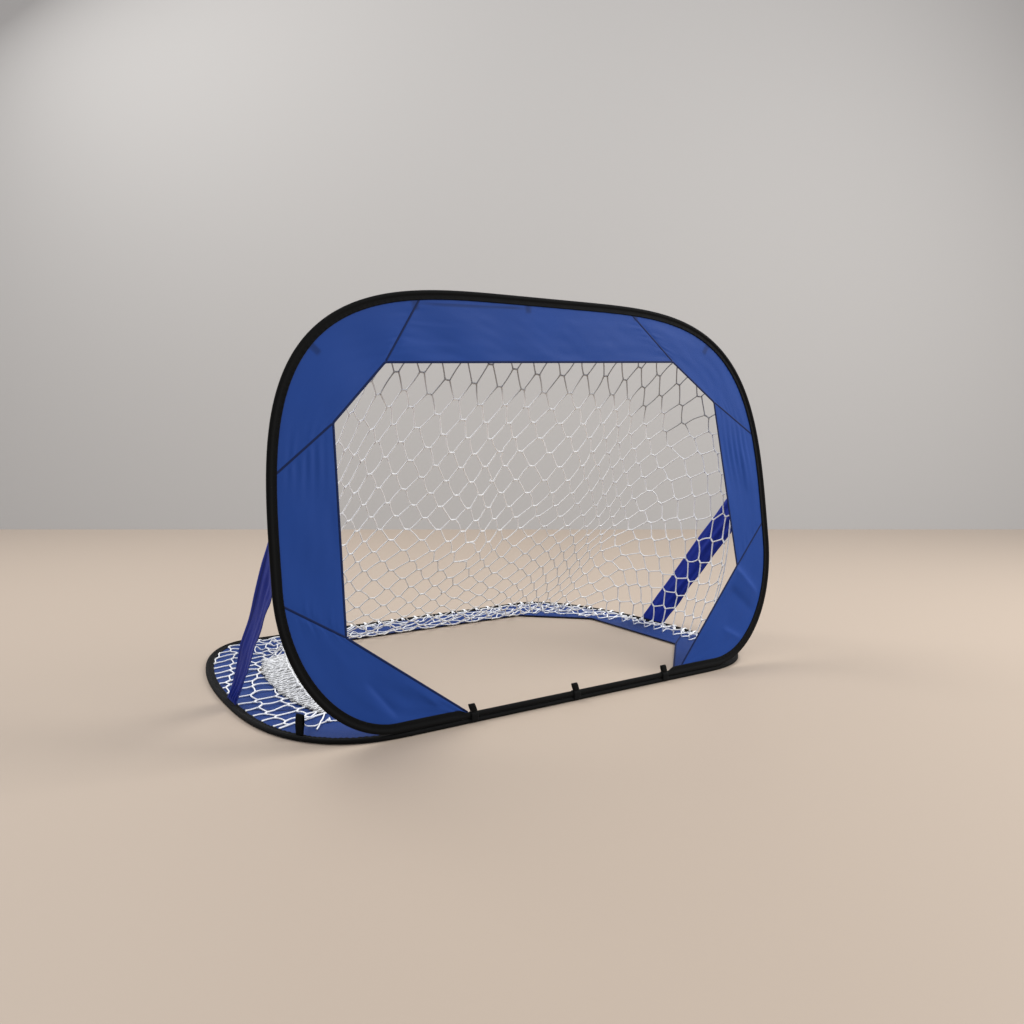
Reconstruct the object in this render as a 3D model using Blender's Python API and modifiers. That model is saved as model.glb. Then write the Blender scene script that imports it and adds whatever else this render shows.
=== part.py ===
"""Folding goal: a mouth hoop hinged on a base hoop, both sprung steel in cloth binding.

Metres, +Z up, X across the mouth, +Y from the mouth to the back. The origin is on the floor
under the middle of the base hoop. Run with: blender --background --python part.py
"""
import bmesh
import bpy
import numpy as np
from math import cos, pi, radians, sin
from mathutils import Matrix, Vector

# Driving dimensions of the two hoops, to the outer edge of the binding
HOOP_WIDTH = 1.33
STANDING_HEIGHT = 0.90
BASE_DEPTH = 0.927
FACE_LEAN = radians(7.8)
FACE_WAIST, FACE_FOOT_HALF, FACE_CROWN_HALF = 0.315, 0.435, 0.076
FACE_FOOT_POWER, FACE_CROWN_POWER = 2.0, 3.5
BASE_WAIST, BASE_FRONT_HALF, BASE_REAR_HALF = 0.38, 0.395, 0.452
BASE_FRONT_POWER, BASE_REAR_POWER = 2.63, 2.14

# Spring steel band, its crimped ferrule and the cloth binding round them
BAND_WIDE, BAND_THICK = 0.0054, 0.0015
BAND_END_GAP = 0.001
FERRULE_WALL, FERRULE_LONG = 0.0007, 0.040
FIT = 0.0003
BINDING_THICK = 0.010
TUBE_WIDE = 0.012
HEM_WIDE = 0.020
CLOTH = 0.0015
PANEL = 0.0012
TUBE_HALF, HEM_FROM = 0.276, 0.300

# Openings of the two cloth surrounds: each side's corners, as shares of the hoop's half width and
# of its height, from the top corner past the shoulder and the elbow to the foot. The mouth's
# two sides differ, as in the photo
MOUTH_CORNERS = {
    "left": ((0.61053, 0.82202), (0.78797, 0.68595), (0.79549, 0.22378), (0.42857, 0.02024)),
    "right": ((0.55940, 0.85575), (0.75789, 0.74555), (0.81504, 0.27213), (0.48271, 0.01912)),
}
FLOOR_CORNERS = ((0.54135, 0.84682), (0.79699, 0.66882), (0.79248, 0.25890), (0.47820, 0.03236))

# Seams of each side: share of the top corner's distance out where the crown seam ends, then the
# drop of the upper seam from the shoulder and the rise of the lower one from the elbow, as
# shares of the hoop's height
MOUTH_SEAMS = {"left": (0.79, 0.10458, 0.07984), "right": (0.68, 0.09221, 0.11470)}
FLOOR_SEAMS = (0.75, 0.10248, 0.09709)

# Net, its border and the webbing ties that hold it
NET_CELL = 0.098
TWINE = 0.0032
NET_INSET = 0.045
NET_CORNER_HALF = HOOP_WIDTH / 2 - 0.145
NET_LENGTH = 1.25
NET_FAN_OUT, NET_FAN_DOWN = 0.640, 0.640
NET_SAG, NET_SLACK = 0.17, 1.03
NET_LIES_REAR, NET_LIES_SIDE, NET_LIES_FRONT = 0.120, 0.110, 0.110
NET_FRONT_DEPTH = 0.160
NET_SIDE_SHARE = 0.60
TIE_WIDE, TIE_THICK, TIE_TAIL = 0.017, 0.001, 0.017
HINGE_TIE_X = 0.264
TOP_TIES = {"top_left": -0.48421, "top_centre": -0.07519, "top_right": 0.40902}
FRONT_TIE_DEPTH, FRONT_TIE_TALL = 0.108, 0.042

# Side straps, cut from flat cloth: depth of the foot as a share of the base's depth, height of
# the head as a share of the mouth hoop's height, and share of the width left at the foot, where
# the left one is gathered in
STRAP_WIDE, STRAP_THICK = 0.075, 0.0014
STRAPS = {"left": (0.41370, 0.39470, 0.63), "right": (0.51080, 0.53527, 1.0)}

# Loose end of the net's lacing cord at the left front tie
TAIL_DIAMETER = 0.003

# Worked out from the sizes above
POCKET_WIDE = BAND_WIDE + 2 * FIT
POCKET_DEEP = BAND_THICK + 2 * FIT
FERRULE_WIDE = BAND_WIDE + 2 * FIT + 2 * FERRULE_WALL
FERRULE_DEEP = BAND_THICK + 2 * FIT + 2 * FERRULE_WALL
SLOT_HALF = PANEL / 2 + FIT
HEM_HALF = SLOT_HALF + CLOTH
TUBE_CORNER = BINDING_THICK * 0.20
TUBE_REACH = float(np.hypot(TUBE_WIDE / 2, TUBE_CORNER))
HINGE_HEIGHT = BINDING_THICK + FIT + TUBE_REACH
HINGE_Y = TUBE_WIDE / 2 - BASE_DEPTH / 2
FACE_HEIGHT = STANDING_HEIGHT - (HINGE_HEIGHT - TUBE_WIDE / 2) / cos(FACE_LEAN)
BASE_MID = BINDING_THICK / 2
NET_FLOOR = BASE_MID + PANEL / 2 + FIT + TWINE / 2
NET_ON_HEM = BASE_MID + HEM_HALF + FIT + TWINE / 2
NECK = TUBE_WIDE * 0.75
TUBE_CREST = TUBE_WIDE * 0.35
TIE_SEAT = (NECK + HEM_WIDE) / 2

COLOURS = {
    "panel_cloth": ((0.028, 0.080, 0.330), 0.62, 0.0),
    "binding_cloth": ((0.006, 0.006, 0.007), 0.85, 0.0),
    "strap_cloth": ((0.020, 0.026, 0.220), 0.70, 0.0),
    "tie_webbing": ((0.008, 0.008, 0.009), 0.80, 0.0),
    "net_twine": ((0.80, 0.80, 0.80), 0.70, 0.0),
    "spring_steel": ((0.30, 0.31, 0.33), 0.35, 1.0),
    "ferrule_steel": ((0.55, 0.56, 0.58), 0.30, 1.0),
}


def clear_scene():
    """Remove every object that the new file starts with."""
    for thing in list(bpy.data.objects):
        bpy.data.objects.remove(thing, do_unlink=True)


def make_material(name):
    """A plain finish with the colour, roughness and metallic value of one material."""
    colour, roughness, metallic = COLOURS[name]
    finish = bpy.data.materials.new(name)
    finish.use_nodes = True
    shader = finish.node_tree.nodes["Principled BSDF"]
    shader.inputs["Base Color"].default_value = (*colour, 1.0)
    shader.inputs["Roughness"].default_value = roughness
    shader.inputs["Metallic"].default_value = metallic
    finish.diffuse_color = (*colour, 1.0)
    return finish


def add_object(name, data, finish, parent=None, matrix=None):
    """Put a mesh or curve in the goal's collection, under its hoop's empty."""
    thing = bpy.data.objects.new(name, data)
    COLLECTION.objects.link(thing)
    data.materials.append(FINISHES[finish])
    if parent is not None:
        thing.parent = parent
    if matrix is not None:
        thing.matrix_local = matrix
    return thing


def add_empty(name, location, tilt):
    """An empty that carries one hoop, with local X across, Y along the hoop and Z out of it."""
    empty = bpy.data.objects.new(name, None)
    empty.location = location
    empty.rotation_euler = (tilt, 0.0, 0.0)
    COLLECTION.objects.link(empty)
    return empty


class Hoop:
    """A closed convex outline, flat at the bottom, from two quarter superellipses a side."""

    STEPS = 400

    def __init__(self, height, waist, foot, foot_power, crown, crown_power, low):
        self.low, self.height = low, height
        half = HOOP_WIDTH / 2
        turn = np.linspace(0.0, pi / 2, self.STEPS)
        foot_x = foot + (half - foot) * np.sin(turn) ** (2 / foot_power)
        foot_y = waist - waist * np.cos(turn) ** (2 / foot_power)
        crown_x = crown + (half - crown) * np.cos(turn) ** (2 / crown_power)
        crown_y = waist + (height - waist) * np.sin(turn) ** (2 / crown_power)
        x = np.concatenate([[0.0, TUBE_HALF, HEM_FROM], foot_x, crown_x[1:], [0.0]])
        y = np.concatenate([[0.0, 0.0, 0.0], foot_y, crown_y[1:], [height]])
        self.fine = np.stack([x, y + low], -1)
        self.waist = waist + low

    def normals(self, points):
        """Inward unit normals of a half outline that runs from the bottom to the top."""
        along = np.gradient(points, axis=0)
        along /= np.linalg.norm(along, axis=1)[:, None]
        return np.stack([-along[:, 1], along[:, 0]], -1)

    def stations(self, turn_step=radians(9.0), length_step=0.14):
        """Half outline with points close where it bends and far apart where it is straight."""
        step = np.diff(self.fine, axis=0)
        length = np.linalg.norm(step, axis=1)
        heading = np.unwrap(np.arctan2(step[:, 1], step[:, 0]))
        bend = np.abs(np.diff(heading, prepend=heading[0]))
        measure = np.concatenate([[0.0], np.cumsum(bend / turn_step + length / length_step)])
        start = measure[3]
        count = int(round(measure[-1] - start))
        wanted = np.linspace(start, measure[-1], count + 1)
        arcs = np.stack([np.interp(wanted, measure, self.fine[:, i]) for i in (0, 1)], -1)
        return np.concatenate([self.fine[:3], arcs])

    def inset(self, distance, points=None):
        """The half outline moved inward by a distance."""
        points = self.fine if points is None else points
        moved = points + self.normals(points) * distance
        moved[0, 0] = moved[-1, 0] = 0.0
        return moved

    def polygon(self, distance):
        """The whole outline, inset by a distance, as one anticlockwise ring of stations."""
        half = self.inset(distance, self.stations())
        mirrored = half[1:-1][::-1] * (-1.0, 1.0)
        return np.concatenate([half, mirrored])

    def upper_point(self, across, distance):
        """Point and inward normal above the waist, where the inset outline is that far out."""
        line = self.inset(distance)
        normal = self.normals(self.fine)
        upper = self.fine[:, 1] > self.waist
        order = np.argsort(line[upper, 0])
        x = line[upper, 0][order]
        side = -1.0 if across < 0 else 1.0
        point = [across, np.interp(abs(across), x, line[upper, 1][order])]
        inward = [np.interp(abs(across), x, normal[upper, i][order]) for i in (0, 1)]
        return np.array(point), np.array([inward[0] * side, inward[1]])

    def side_point(self, along, distance):
        """Point and inward normal on the right side, where the inset outline is at that depth."""
        line = self.inset(distance)
        normal = self.normals(self.fine)
        point = [np.interp(along, line[3:-1, 1], line[3:-1, 0]), along]
        inward = [np.interp(along, line[3:-1, 1], normal[3:-1, i]) for i in (0, 1)]
        return np.array(point), np.array(inward)


def hem_share(across):
    """0 where the binding is a closed tube at the hinge, 1 where it has a wide hem."""
    return np.clip((np.abs(across) - TUBE_HALF) / (HEM_FROM - TUBE_HALF), 0.0, 1.0)


def binding_section(share):
    """Ring of (distance inward, height) points of the binding, open inward as a slot."""
    half = BINDING_THICK / 2
    pocket = CLOTH * 2
    hem = [
        (HEM_WIDE, HEM_HALF), (NECK, HEM_HALF), (TUBE_WIDE * 0.54, half),
        (TUBE_WIDE * 0.17, half), (0.0, TUBE_CORNER), (0.0, -TUBE_CORNER),
        (TUBE_WIDE * 0.17, -half), (TUBE_WIDE * 0.54, -half), (NECK, -HEM_HALF),
        (HEM_WIDE, -HEM_HALF), (HEM_WIDE, -SLOT_HALF), (pocket + POCKET_DEEP, -SLOT_HALF),
        (pocket + POCKET_DEEP, -POCKET_WIDE / 2), (pocket, -POCKET_WIDE / 2),
        (pocket, POCKET_WIDE / 2), (pocket + POCKET_DEEP, POCKET_WIDE / 2),
        (pocket + POCKET_DEEP, SLOT_HALF), (HEM_WIDE, SLOT_HALF),
    ]
    room, near = FERRULE_WIDE / 2 + FIT, TUBE_WIDE / 2 - FERRULE_DEEP / 2 - FIT
    far = TUBE_WIDE - near
    shoulder = TUBE_WIDE * 0.21
    tube = [
        (TUBE_WIDE, TUBE_CORNER), (TUBE_WIDE - shoulder, half), (TUBE_WIDE / 2, half),
        (shoulder, half), (0.0, TUBE_CORNER), (0.0, -TUBE_CORNER),
        (shoulder, -half), (TUBE_WIDE / 2, -half), (TUBE_WIDE - shoulder, -half),
        (TUBE_WIDE, -TUBE_CORNER), (TUBE_WIDE, -FIT), (far, -FIT),
        (far, -room), (near, -room), (near, room), (far, room), (far, FIT), (TUBE_WIDE, FIT),
    ]
    return (1.0 - share) * np.array(tube) + share * np.array(hem)


def band_section(share, half_thick, half_wide):
    """Rectangle of the steel band, in the binding's pocket whatever the binding's shape."""
    middle = (1.0 - share) * TUBE_WIDE / 2 + share * (CLOTH * 2 + POCKET_DEEP / 2)
    corners = [(half_thick, half_wide), (-half_thick, half_wide)]
    corners += [(-half_thick, -half_wide), (half_thick, -half_wide)]
    return np.array(corners) + (middle, 0.0)


def loft(name, points, normals, sections, closed, finish, parent):
    """Skin unlike sections, each set square to an outline at its own station."""
    rings = []
    for point, normal, section in zip(points, normals, sections):
        flat = point + section[:, :1] * normal
        rings.append(np.column_stack([flat, section[:, 1]]))
    count, size = len(rings), len(rings[0])
    faces = []
    for i in range(count if closed else count - 1):
        a, b = i * size, ((i + 1) % count) * size
        for j in range(size):
            k = (j + 1) % size
            faces.append((a + j, b + j, b + k, a + k))
    if not closed:
        faces.append(tuple(range(size)))
        faces.append(tuple(range((count - 1) * size, count * size))[::-1])
    mesh = bpy.data.meshes.new(name)
    mesh.from_pydata(np.concatenate(rings).tolist(), [], faces)
    ring = bmesh.new()
    ring.from_mesh(mesh)
    bmesh.ops.recalc_face_normals(ring, faces=ring.faces)
    ring.to_mesh(mesh)
    ring.free()
    return add_object(name, mesh, finish, parent)


def whole_outline(hoop):
    """Stations and inward normals of the whole outline, from the bottom centre round to it."""
    half = hoop.stations()
    inward = hoop.normals(half)
    inward[0] = inward[1] = inward[2] = (0.0, 1.0)
    inward[-1] = (0.0, -1.0)
    points = np.concatenate([half, half[1:-1][::-1] * (-1.0, 1.0)])
    normals = np.concatenate([inward, inward[1:-1][::-1] * (-1.0, 1.0)])
    return points, normals


def make_hoop_frame(prefix, hoop, parent):
    """The binding, the sprung steel band in it and the ferrule that joins the band's ends."""
    points, normals = whole_outline(hoop)
    shares = hem_share(points[:, 0])
    shares[points[:, 1] > hoop.waist] = 1.0
    sections = [binding_section(share) for share in shares]
    loft(prefix + "_binding", points, normals, sections, True, "binding_cloth", parent)

    ends = np.array([[BAND_END_GAP / 2, hoop.low], [-BAND_END_GAP / 2, hoop.low]])
    path = np.concatenate([ends[:1], points[1:], ends[1:]])
    across = np.concatenate([normals[:1], normals[1:], normals[:1]])
    shares = np.concatenate([[0.0], shares[1:], [0.0]])
    bands = [band_section(share, BAND_THICK / 2, BAND_WIDE / 2) for share in shares]
    loft(prefix + "_spring_band", path, across, bands, False, "spring_steel", parent)

    middle = hoop.low + TUBE_WIDE / 2
    outer = [FERRULE_LONG, FERRULE_DEEP, FERRULE_WIDE]
    inner = [FERRULE_LONG * 1.1, BAND_THICK + 2 * FIT, BAND_WIDE + 2 * FIT]
    make_ferrule(prefix + "_band_ferrule", (0.0, middle, 0.0), outer, inner, parent)


def make_box_mesh(name, size):
    """A box mesh of the given size about its own origin."""
    shape = bmesh.new()
    bmesh.ops.create_cube(shape, size=1.0, matrix=Matrix.Diagonal((*size, 1.0)))
    mesh = bpy.data.meshes.new(name)
    shape.to_mesh(mesh)
    shape.free()
    return mesh


def make_ferrule(name, place, outer, inner, parent):
    """A short rectangular steel tube, cut through by a longer box."""
    ferrule = add_object(name, make_box_mesh(name, outer), "ferrule_steel", parent)
    ferrule.location = place
    cutter = bpy.data.objects.new(name + "_bore", make_box_mesh(name + "_bore", inner))
    CUTTERS.objects.link(cutter)
    cutter.parent = parent
    cutter.location = place
    cutter.hide_render = True
    cutter.display_type = "WIRE"
    bore = ferrule.modifiers.new("bore", "BOOLEAN")
    bore.operation = "DIFFERENCE"
    bore.object = cutter


def clip(ring, start, end, gap):
    """Keep the part of a convex ring left of the line from start to end, less a gap."""
    start, end = np.array(start), np.array(end)
    along = (end - start) / np.linalg.norm(end - start)
    left = np.array([-along[1], along[0]])
    depth = (ring - start) @ left - gap
    kept = []
    for i, point in enumerate(ring):
        j = (i + 1) % len(ring)
        if depth[i] >= 0:
            kept.append(point)
        if depth[i] * depth[j] < 0:
            share = depth[i] / (depth[i] - depth[j])
            kept.append(point + share * (ring[j] - point))
    return np.array(kept)


def make_panel(name, ring, parent):
    """A flat piece of cloth with this outline, centred on its hoop's middle plane."""
    curve = bpy.data.curves.new(name, "CURVE")
    curve.dimensions = "2D"
    curve.fill_mode = "BOTH"
    curve.extrude = PANEL / 2
    line = curve.splines.new("POLY")
    line.points.add(len(ring) - 1)
    for point, place in zip(line.points, ring):
        point.co = (place[0], place[1], 0.0, 1.0)
    line.use_cyclic_u = True
    return add_object(name, curve, "panel_cloth", parent)


def make_surround(prefix, names, hoop, corners, seams, parent):
    """Seven flat pieces round an opening, cut from one outline along their seams."""
    ring = hoop.polygon(TUBE_WIDE / 2 + FIT)
    gap = FIT / 2
    ends = {}
    for label, side in (("left", -1.0), ("right", 1.0)):
        flip = np.array([side, 1.0])
        size = np.array([HOOP_WIDTH / 2, hoop.height])
        top, shoulder, elbow, foot = [size * corner + (0.0, hoop.low) for corner in corners[label]]
        share, drop, rise = seams[label]
        crown, _ = hoop.upper_point(top[0] * share, HEM_WIDE)
        upper, _ = hoop.side_point(shoulder[1] - drop * hoop.height, HEM_WIDE)
        lower, _ = hoop.side_point(elbow[1] + rise * hoop.height, HEM_WIDE)
        ends[label] = (top * flip, crown * flip)

        corner = clip(ring, crown, top, gap)
        corner = clip(corner, top, shoulder, 0.0)
        corner = clip(corner, shoulder, upper, gap)
        band = clip(ring, upper, shoulder, gap)
        band = clip(band, shoulder, elbow, 0.0)
        band = clip(band, elbow, lower, gap)
        gusset = clip(ring, lower, elbow, gap)
        gusset = clip(gusset, elbow, foot, 0.0)
        beside_tube = np.array([HEM_FROM + FIT, 0.0])
        gusset = clip(gusset, beside_tube + (0.0, 1.0), beside_tube, 0.0)
        for piece, name in zip((corner, band, gusset), names[1:]):
            make_panel(f"{prefix}_{name}_{label}", piece[::int(side)] * flip, parent)

    (left_top, left_crown), (right_top, right_crown) = ends["left"], ends["right"]
    band = clip(ring, left_top, right_top, 0.0)
    band = clip(band, right_top, right_crown, gap)
    band = clip(band, left_crown, left_top, gap)
    make_panel(f"{prefix}_{names[0]}", band, parent)


def hinge_tie_outline():
    """Side view of one hinge tie: a strip over the mouth tube, with a short tail standing up."""
    inner = TUBE_REACH + FIT
    outer = inner + TIE_THICK
    foot = TIE_THICK * 1.5 - HINGE_HEIGHT
    steps = 7
    lean = 0.25 * TIE_TAIL
    bend = pi * 0.44
    front = [pi - bend * i / steps for i in range(steps + 1)]
    back = [bend - bend * i / steps for i in range(steps + 1)]
    ring = [(-outer, foot)]
    ring += [(outer * cos(a), outer * sin(a)) for a in front]
    ring += [(-TIE_THICK - lean, outer + TIE_TAIL), (TIE_THICK - lean, outer + TIE_TAIL)]
    ring += [(outer * cos(a), outer * sin(a)) for a in back]
    ring += [(outer, foot), (inner, foot)]
    arch = [pi * i / (2 * steps) for i in range(2 * steps + 1)]
    ring += [(inner * cos(a), inner * sin(a)) for a in arch]
    ring += [(-inner, foot)]
    return ring


def make_hinge_tie(name, across):
    """Webbing that laps the mouth tube onto the base tube, sewn down in front and behind."""
    curve = bpy.data.curves.new(name, "CURVE")
    curve.dimensions = "2D"
    curve.fill_mode = "BOTH"
    curve.extrude = TIE_WIDE / 2
    ring = hinge_tie_outline()
    line = curve.splines.new("POLY")
    line.points.add(len(ring) - 1)
    for point, place in zip(line.points, ring):
        point.co = (place[0], place[1], 0.0, 1.0)
    line.use_cyclic_u = True
    turn = Matrix(((0, 0, 1), (1, 0, 0), (0, 1, 0))).to_4x4()
    place = Matrix.Translation((across, HINGE_Y, HINGE_HEIGHT)) @ turn
    return add_object(name, curve, "tie_webbing", None, place)


def make_net_tie(name, across, parent):
    """Folded webbing sewn on the back of the mouth's hem, reaching in to the net's border."""
    reach = NET_INSET - TWINE / 2 - FIT
    long = reach - HEM_WIDE / 2
    edge, inward = FACE.upper_point(across, HEM_WIDE / 2)
    middle = edge + inward * long / 2
    depth = HEM_HALF + FIT + TIE_THICK
    tie = add_object(name, make_box_mesh(name, (TIE_WIDE, long, 2 * TIE_THICK)), "tie_webbing", parent)
    turn = Matrix.Rotation(np.arctan2(inward[1], inward[0]) + pi / 2, 4, "Z")
    tie.matrix_local = Matrix.Translation((middle[0], middle[1], -depth)) @ turn
    return tie


def make_base_tie(name, side, parent):
    """Folded webbing that stands on the base's hem in front of the net's front corner."""
    place, inward = BASE.side_point(FRONT_TIE_DEPTH - BASE_DEPTH / 2, TIE_SEAT)
    size = (TIE_WIDE, 2 * TIE_THICK, FRONT_TIE_TALL)
    tie = add_object(name, make_box_mesh(name, size), "tie_webbing", parent)
    turn = Matrix.Rotation(np.arctan2(inward[1], inward[0] * side) + pi / 2, 4, "Z")
    raised = HEM_HALF + FIT + FRONT_TIE_TALL / 2
    tie.matrix_local = Matrix.Translation((place[0] * side, place[1], raised)) @ turn
    return tie


def face_to_world(point, out):
    """World place of a point of the mouth hoop's plane, out being forward of the plane."""
    return np.array([
        point[0],
        HINGE_Y + point[1] * sin(FACE_LEAN) - out * cos(FACE_LEAN),
        HINGE_HEIGHT + point[1] * cos(FACE_LEAN) + out * sin(FACE_LEAN),
    ])


def base_border(share):
    """Net's border on the base, from its right front end at 0 to the rear centre at 1.

    Gives the border point and the point where the net comes down onto the cloth.
    """
    line = BASE.inset(HEM_WIDE * 0.8)
    inward = BASE.normals(BASE.fine)
    first = int(np.argmax(line[:, 1] > NET_FRONT_DEPTH - BASE_DEPTH / 2))
    length = np.concatenate([[0.0], np.cumsum(np.linalg.norm(np.diff(line[first:], axis=0), axis=1))])
    wanted = share * length[-1]
    border = np.array([np.interp(wanted, length, line[first:, i]) for i in (0, 1)])
    normal = np.array([np.interp(wanted, length, inward[first:, i]) for i in (0, 1)])
    lies = np.interp(
        share, [0.0, 0.12, 0.45, 0.72, 1.0],
        [NET_LIES_FRONT, NET_LIES_SIDE, NET_LIES_SIDE, NET_LIES_REAR, NET_LIES_REAR],
    )
    landing = border + normal * lies
    return np.array([*border, NET_ON_HEM]), np.array([*landing, NET_FLOOR])


def net_ruling(across, fan):
    """Top, landing and border points of one line of the net, for the right half.

    across is the place along the top border. fan is 0 on the rear panel, and grows to 1 at
    the free front edge, where every line starts from the corner tie.
    """
    top, _ = FACE.upper_point(across, NET_INSET)
    hung = HEM_HALF + FIT + TIE_THICK
    high = face_to_world(top, -hung)
    if fan > 0.0:
        share = NET_SIDE_SHARE * (1.0 - fan)
    else:
        share = 1.0 - (1.0 - NET_SIDE_SHARE) * across / NET_CORNER_HALF
    border, landing = base_border(share)
    return high, landing, border


def place_on_net(flat):
    """Where a point of the net's flat pattern hangs. The pattern runs down from its top edge."""
    side = -1.0 if flat[0] < 0 else 1.0
    out, down = abs(flat[0]), flat[1]
    if out <= NET_CORNER_HALF:
        high, landing, border = net_ruling(out, 0.0)
        share, sag = down / NET_LENGTH, NET_SAG
    else:
        x, y = out - NET_CORNER_HALF, down
        slope = (NET_LENGTH - NET_FAN_DOWN) / NET_FAN_OUT
        reach = NET_LENGTH / (y + slope * x)
        fan = min(1.0, reach * x / NET_FAN_OUT)
        high, landing, border = net_ruling(NET_CORNER_HALF, fan)
        share, sag = 1.0 / reach, NET_SAG * (1.0 - fan) ** 2
    hanging = np.linalg.norm(high - landing) * NET_SLACK
    lying = np.linalg.norm(border - landing)
    turn = hanging / (hanging + lying)
    if share <= turn:
        t = share / turn
        middle = (high + landing) / 2 - (0.0, 0.0, sag)
        point = high * (1 - t) ** 2 + 2 * middle * t * (1 - t) + landing * t ** 2
    else:
        t = (share - turn) / (1 - turn)
        point = landing + (border - landing) * t
    return Vector((point[0] * side, point[1], point[2]))


def make_net():
    """Hexagonal knotless net: cells cut to the pattern, hung in place, then bars on each edge."""
    shape = bmesh.new()
    side = NET_CELL / np.sqrt(3)
    rows = int(NET_LENGTH / (1.5 * side)) + 2
    columns = int((NET_CORNER_HALF + NET_FAN_OUT) / NET_CELL) + 2
    for row in range(rows):
        for column in range(-columns, columns + 1):
            x = (column + 0.5 * (row % 2)) * NET_CELL
            y = row * 1.5 * side
            ring = [(x + side * sin(a), y + side * cos(a), 0.0) for a in np.arange(6) * pi / 3]
            shape.faces.new([shape.verts.new(point) for point in ring])
    bmesh.ops.remove_doubles(shape, verts=shape.verts, dist=side * 0.1)
    half, out = NET_CORNER_HALF, NET_CORNER_HALF + NET_FAN_OUT
    edges = [((-half, 0.0), (half, 0.0)), ((half, 0.0), (out, NET_FAN_DOWN))]
    edges += [((out, NET_FAN_DOWN), (half, NET_LENGTH)), ((half, NET_LENGTH), (-half, NET_LENGTH))]
    edges += [((-half, NET_LENGTH), (-out, NET_FAN_DOWN)), ((-out, NET_FAN_DOWN), (-half, 0.0))]
    for start, end in edges:
        along = Vector(end) - Vector(start)
        everything = shape.verts[:] + shape.edges[:] + shape.faces[:]
        bmesh.ops.bisect_plane(
            shape, geom=everything, dist=1e-6, plane_co=(*start, 0.0),
            plane_no=(along.y, -along.x, 0.0), clear_outer=True,
        )
    bmesh.ops.remove_doubles(shape, verts=shape.verts, dist=side * 0.35)
    for vert in shape.verts:
        vert.co = place_on_net(vert.co)
    bmesh.ops.recalc_face_normals(shape, faces=shape.faces)
    mesh = bpy.data.meshes.new("net")
    shape.to_mesh(mesh)
    shape.free()
    net = add_object("net", mesh, "net_twine")
    bars = net.modifiers.new("bars", "WIREFRAME")
    bars.thickness = TWINE
    bars.offset = 0.0
    bars.use_boundary = True
    bars.use_even_offset = False
    return net


def make_strap(name, side, depth, height, gather):
    """A flat strap from the base binding up to the back of the mouth binding, cut aslant."""
    seat = BINDING_THICK / 2 + FIT
    foot, _ = BASE.side_point(depth * BASE.height + BASE.low, TUBE_CREST)
    head, _ = FACE.side_point(height * FACE.height + FACE.low, TUBE_CREST)
    low = np.array([foot[0], foot[1], BASE_MID + seat])
    high = face_to_world(head, -seat)
    run = (high - low) / np.linalg.norm(high - low)
    back = np.array([0.0, 1.0, 0.0])
    up_face = np.array([0.0, sin(FACE_LEAN), cos(FACE_LEAN)])
    seams = [way * STRAP_WIDE / np.linalg.norm(way - run * (way @ run)) for way in (back, up_face)]
    seams[0] *= gather
    thick = np.array([STRAP_THICK / 2, 0.0, 0.0])
    steps = 8
    rings = []
    for i in range(steps + 1):
        t = i / steps
        across = (seams[0] * (1 - t) + seams[1] * t) / 2
        middle = low + (high - low) * t
        corners = [across + thick, across - thick, -across - thick, -across + thick]
        rings.append(middle + np.array(corners))
    verts = np.concatenate(rings) * (side, 1.0, 1.0)
    faces = [(0, 1, 2, 3), tuple(4 * steps + j for j in (3, 2, 1, 0))]
    for i in range(steps):
        for j in range(4):
            k = (j + 1) % 4
            faces.append((4 * i + j, 4 * i + k, 4 * i + 4 + k, 4 * i + 4 + j))
    mesh = bpy.data.meshes.new(name)
    mesh.from_pydata(verts.tolist(), [], faces)
    shape = bmesh.new()
    shape.from_mesh(mesh)
    bmesh.ops.recalc_face_normals(shape, faces=shape.faces)
    bmesh.ops.triangulate(shape, faces=shape.faces)
    shape.to_mesh(mesh)
    shape.free()
    return add_object(name, mesh, "strap_cloth")


def tail_route():
    """Chosen points of the lacing cord's loose end, from the left front tie down to the cloth."""
    lie = BASE_MID + PANEL / 2 + FIT + TAIL_DIAMETER / 2
    start, inward = BASE.side_point(FRONT_TIE_DEPTH - BASE_DEPTH / 2, TIE_SEAT)
    clear = TIE_THICK + FIT + TAIL_DIAMETER / 2
    along = np.array([inward[1], -inward[0]]) * (-1.0 if inward[0] < 0 else 1.0)
    # Each row: how far inward of the tie, how far towards the front, and the height
    route = [
        (0.000, 0.000, 0.036), (0.004, 0.000, 0.0385), (0.009, 0.000, 0.033),
        (0.014, -0.002, 0.024), (0.023, -0.003, 0.0175), (0.038, -0.005, 0.012),
        (0.055, -0.006, lie), (0.071, -0.005, lie), (0.093, 0.003, lie),
    ]
    places = []
    for inner, front, height in route:
        spot = start + inward * (clear + inner) + along * front
        places.append((-spot[0], spot[1], height))
    return places


def smooth_line(points, count):
    """Evenly spread points on a smooth curve through the chosen ones."""
    points = np.array(points)
    ends = np.concatenate([[2 * points[0] - points[1]], points, [2 * points[-1] - points[-2]]])
    line = []
    for i in range(count):
        place = i / (count - 1) * (len(points) - 1)
        k = min(int(place), len(points) - 2)
        t = place - k
        a, b, c, d = ends[k:k + 4]
        line.append(0.5 * (2 * b + (c - a) * t + (2 * a - 5 * b + 4 * c - d) * t ** 2
                           + (3 * b - a - 3 * c + d) * t ** 3))
    return line


def make_tail():
    """The loose end of the lacing cord, as a thin tube."""
    curve = bpy.data.curves.new("net_cord_tail", "CURVE")
    curve.dimensions = "3D"
    curve.bevel_depth = TAIL_DIAMETER / 2
    curve.bevel_resolution = 1
    curve.use_fill_caps = True
    places = smooth_line(tail_route(), 22)
    line = curve.splines.new("POLY")
    line.points.add(len(places) - 1)
    for point, place in zip(line.points, places):
        point.co = (*place, 1.0)
    return add_object("net_cord_tail", curve, "net_twine")


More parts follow.
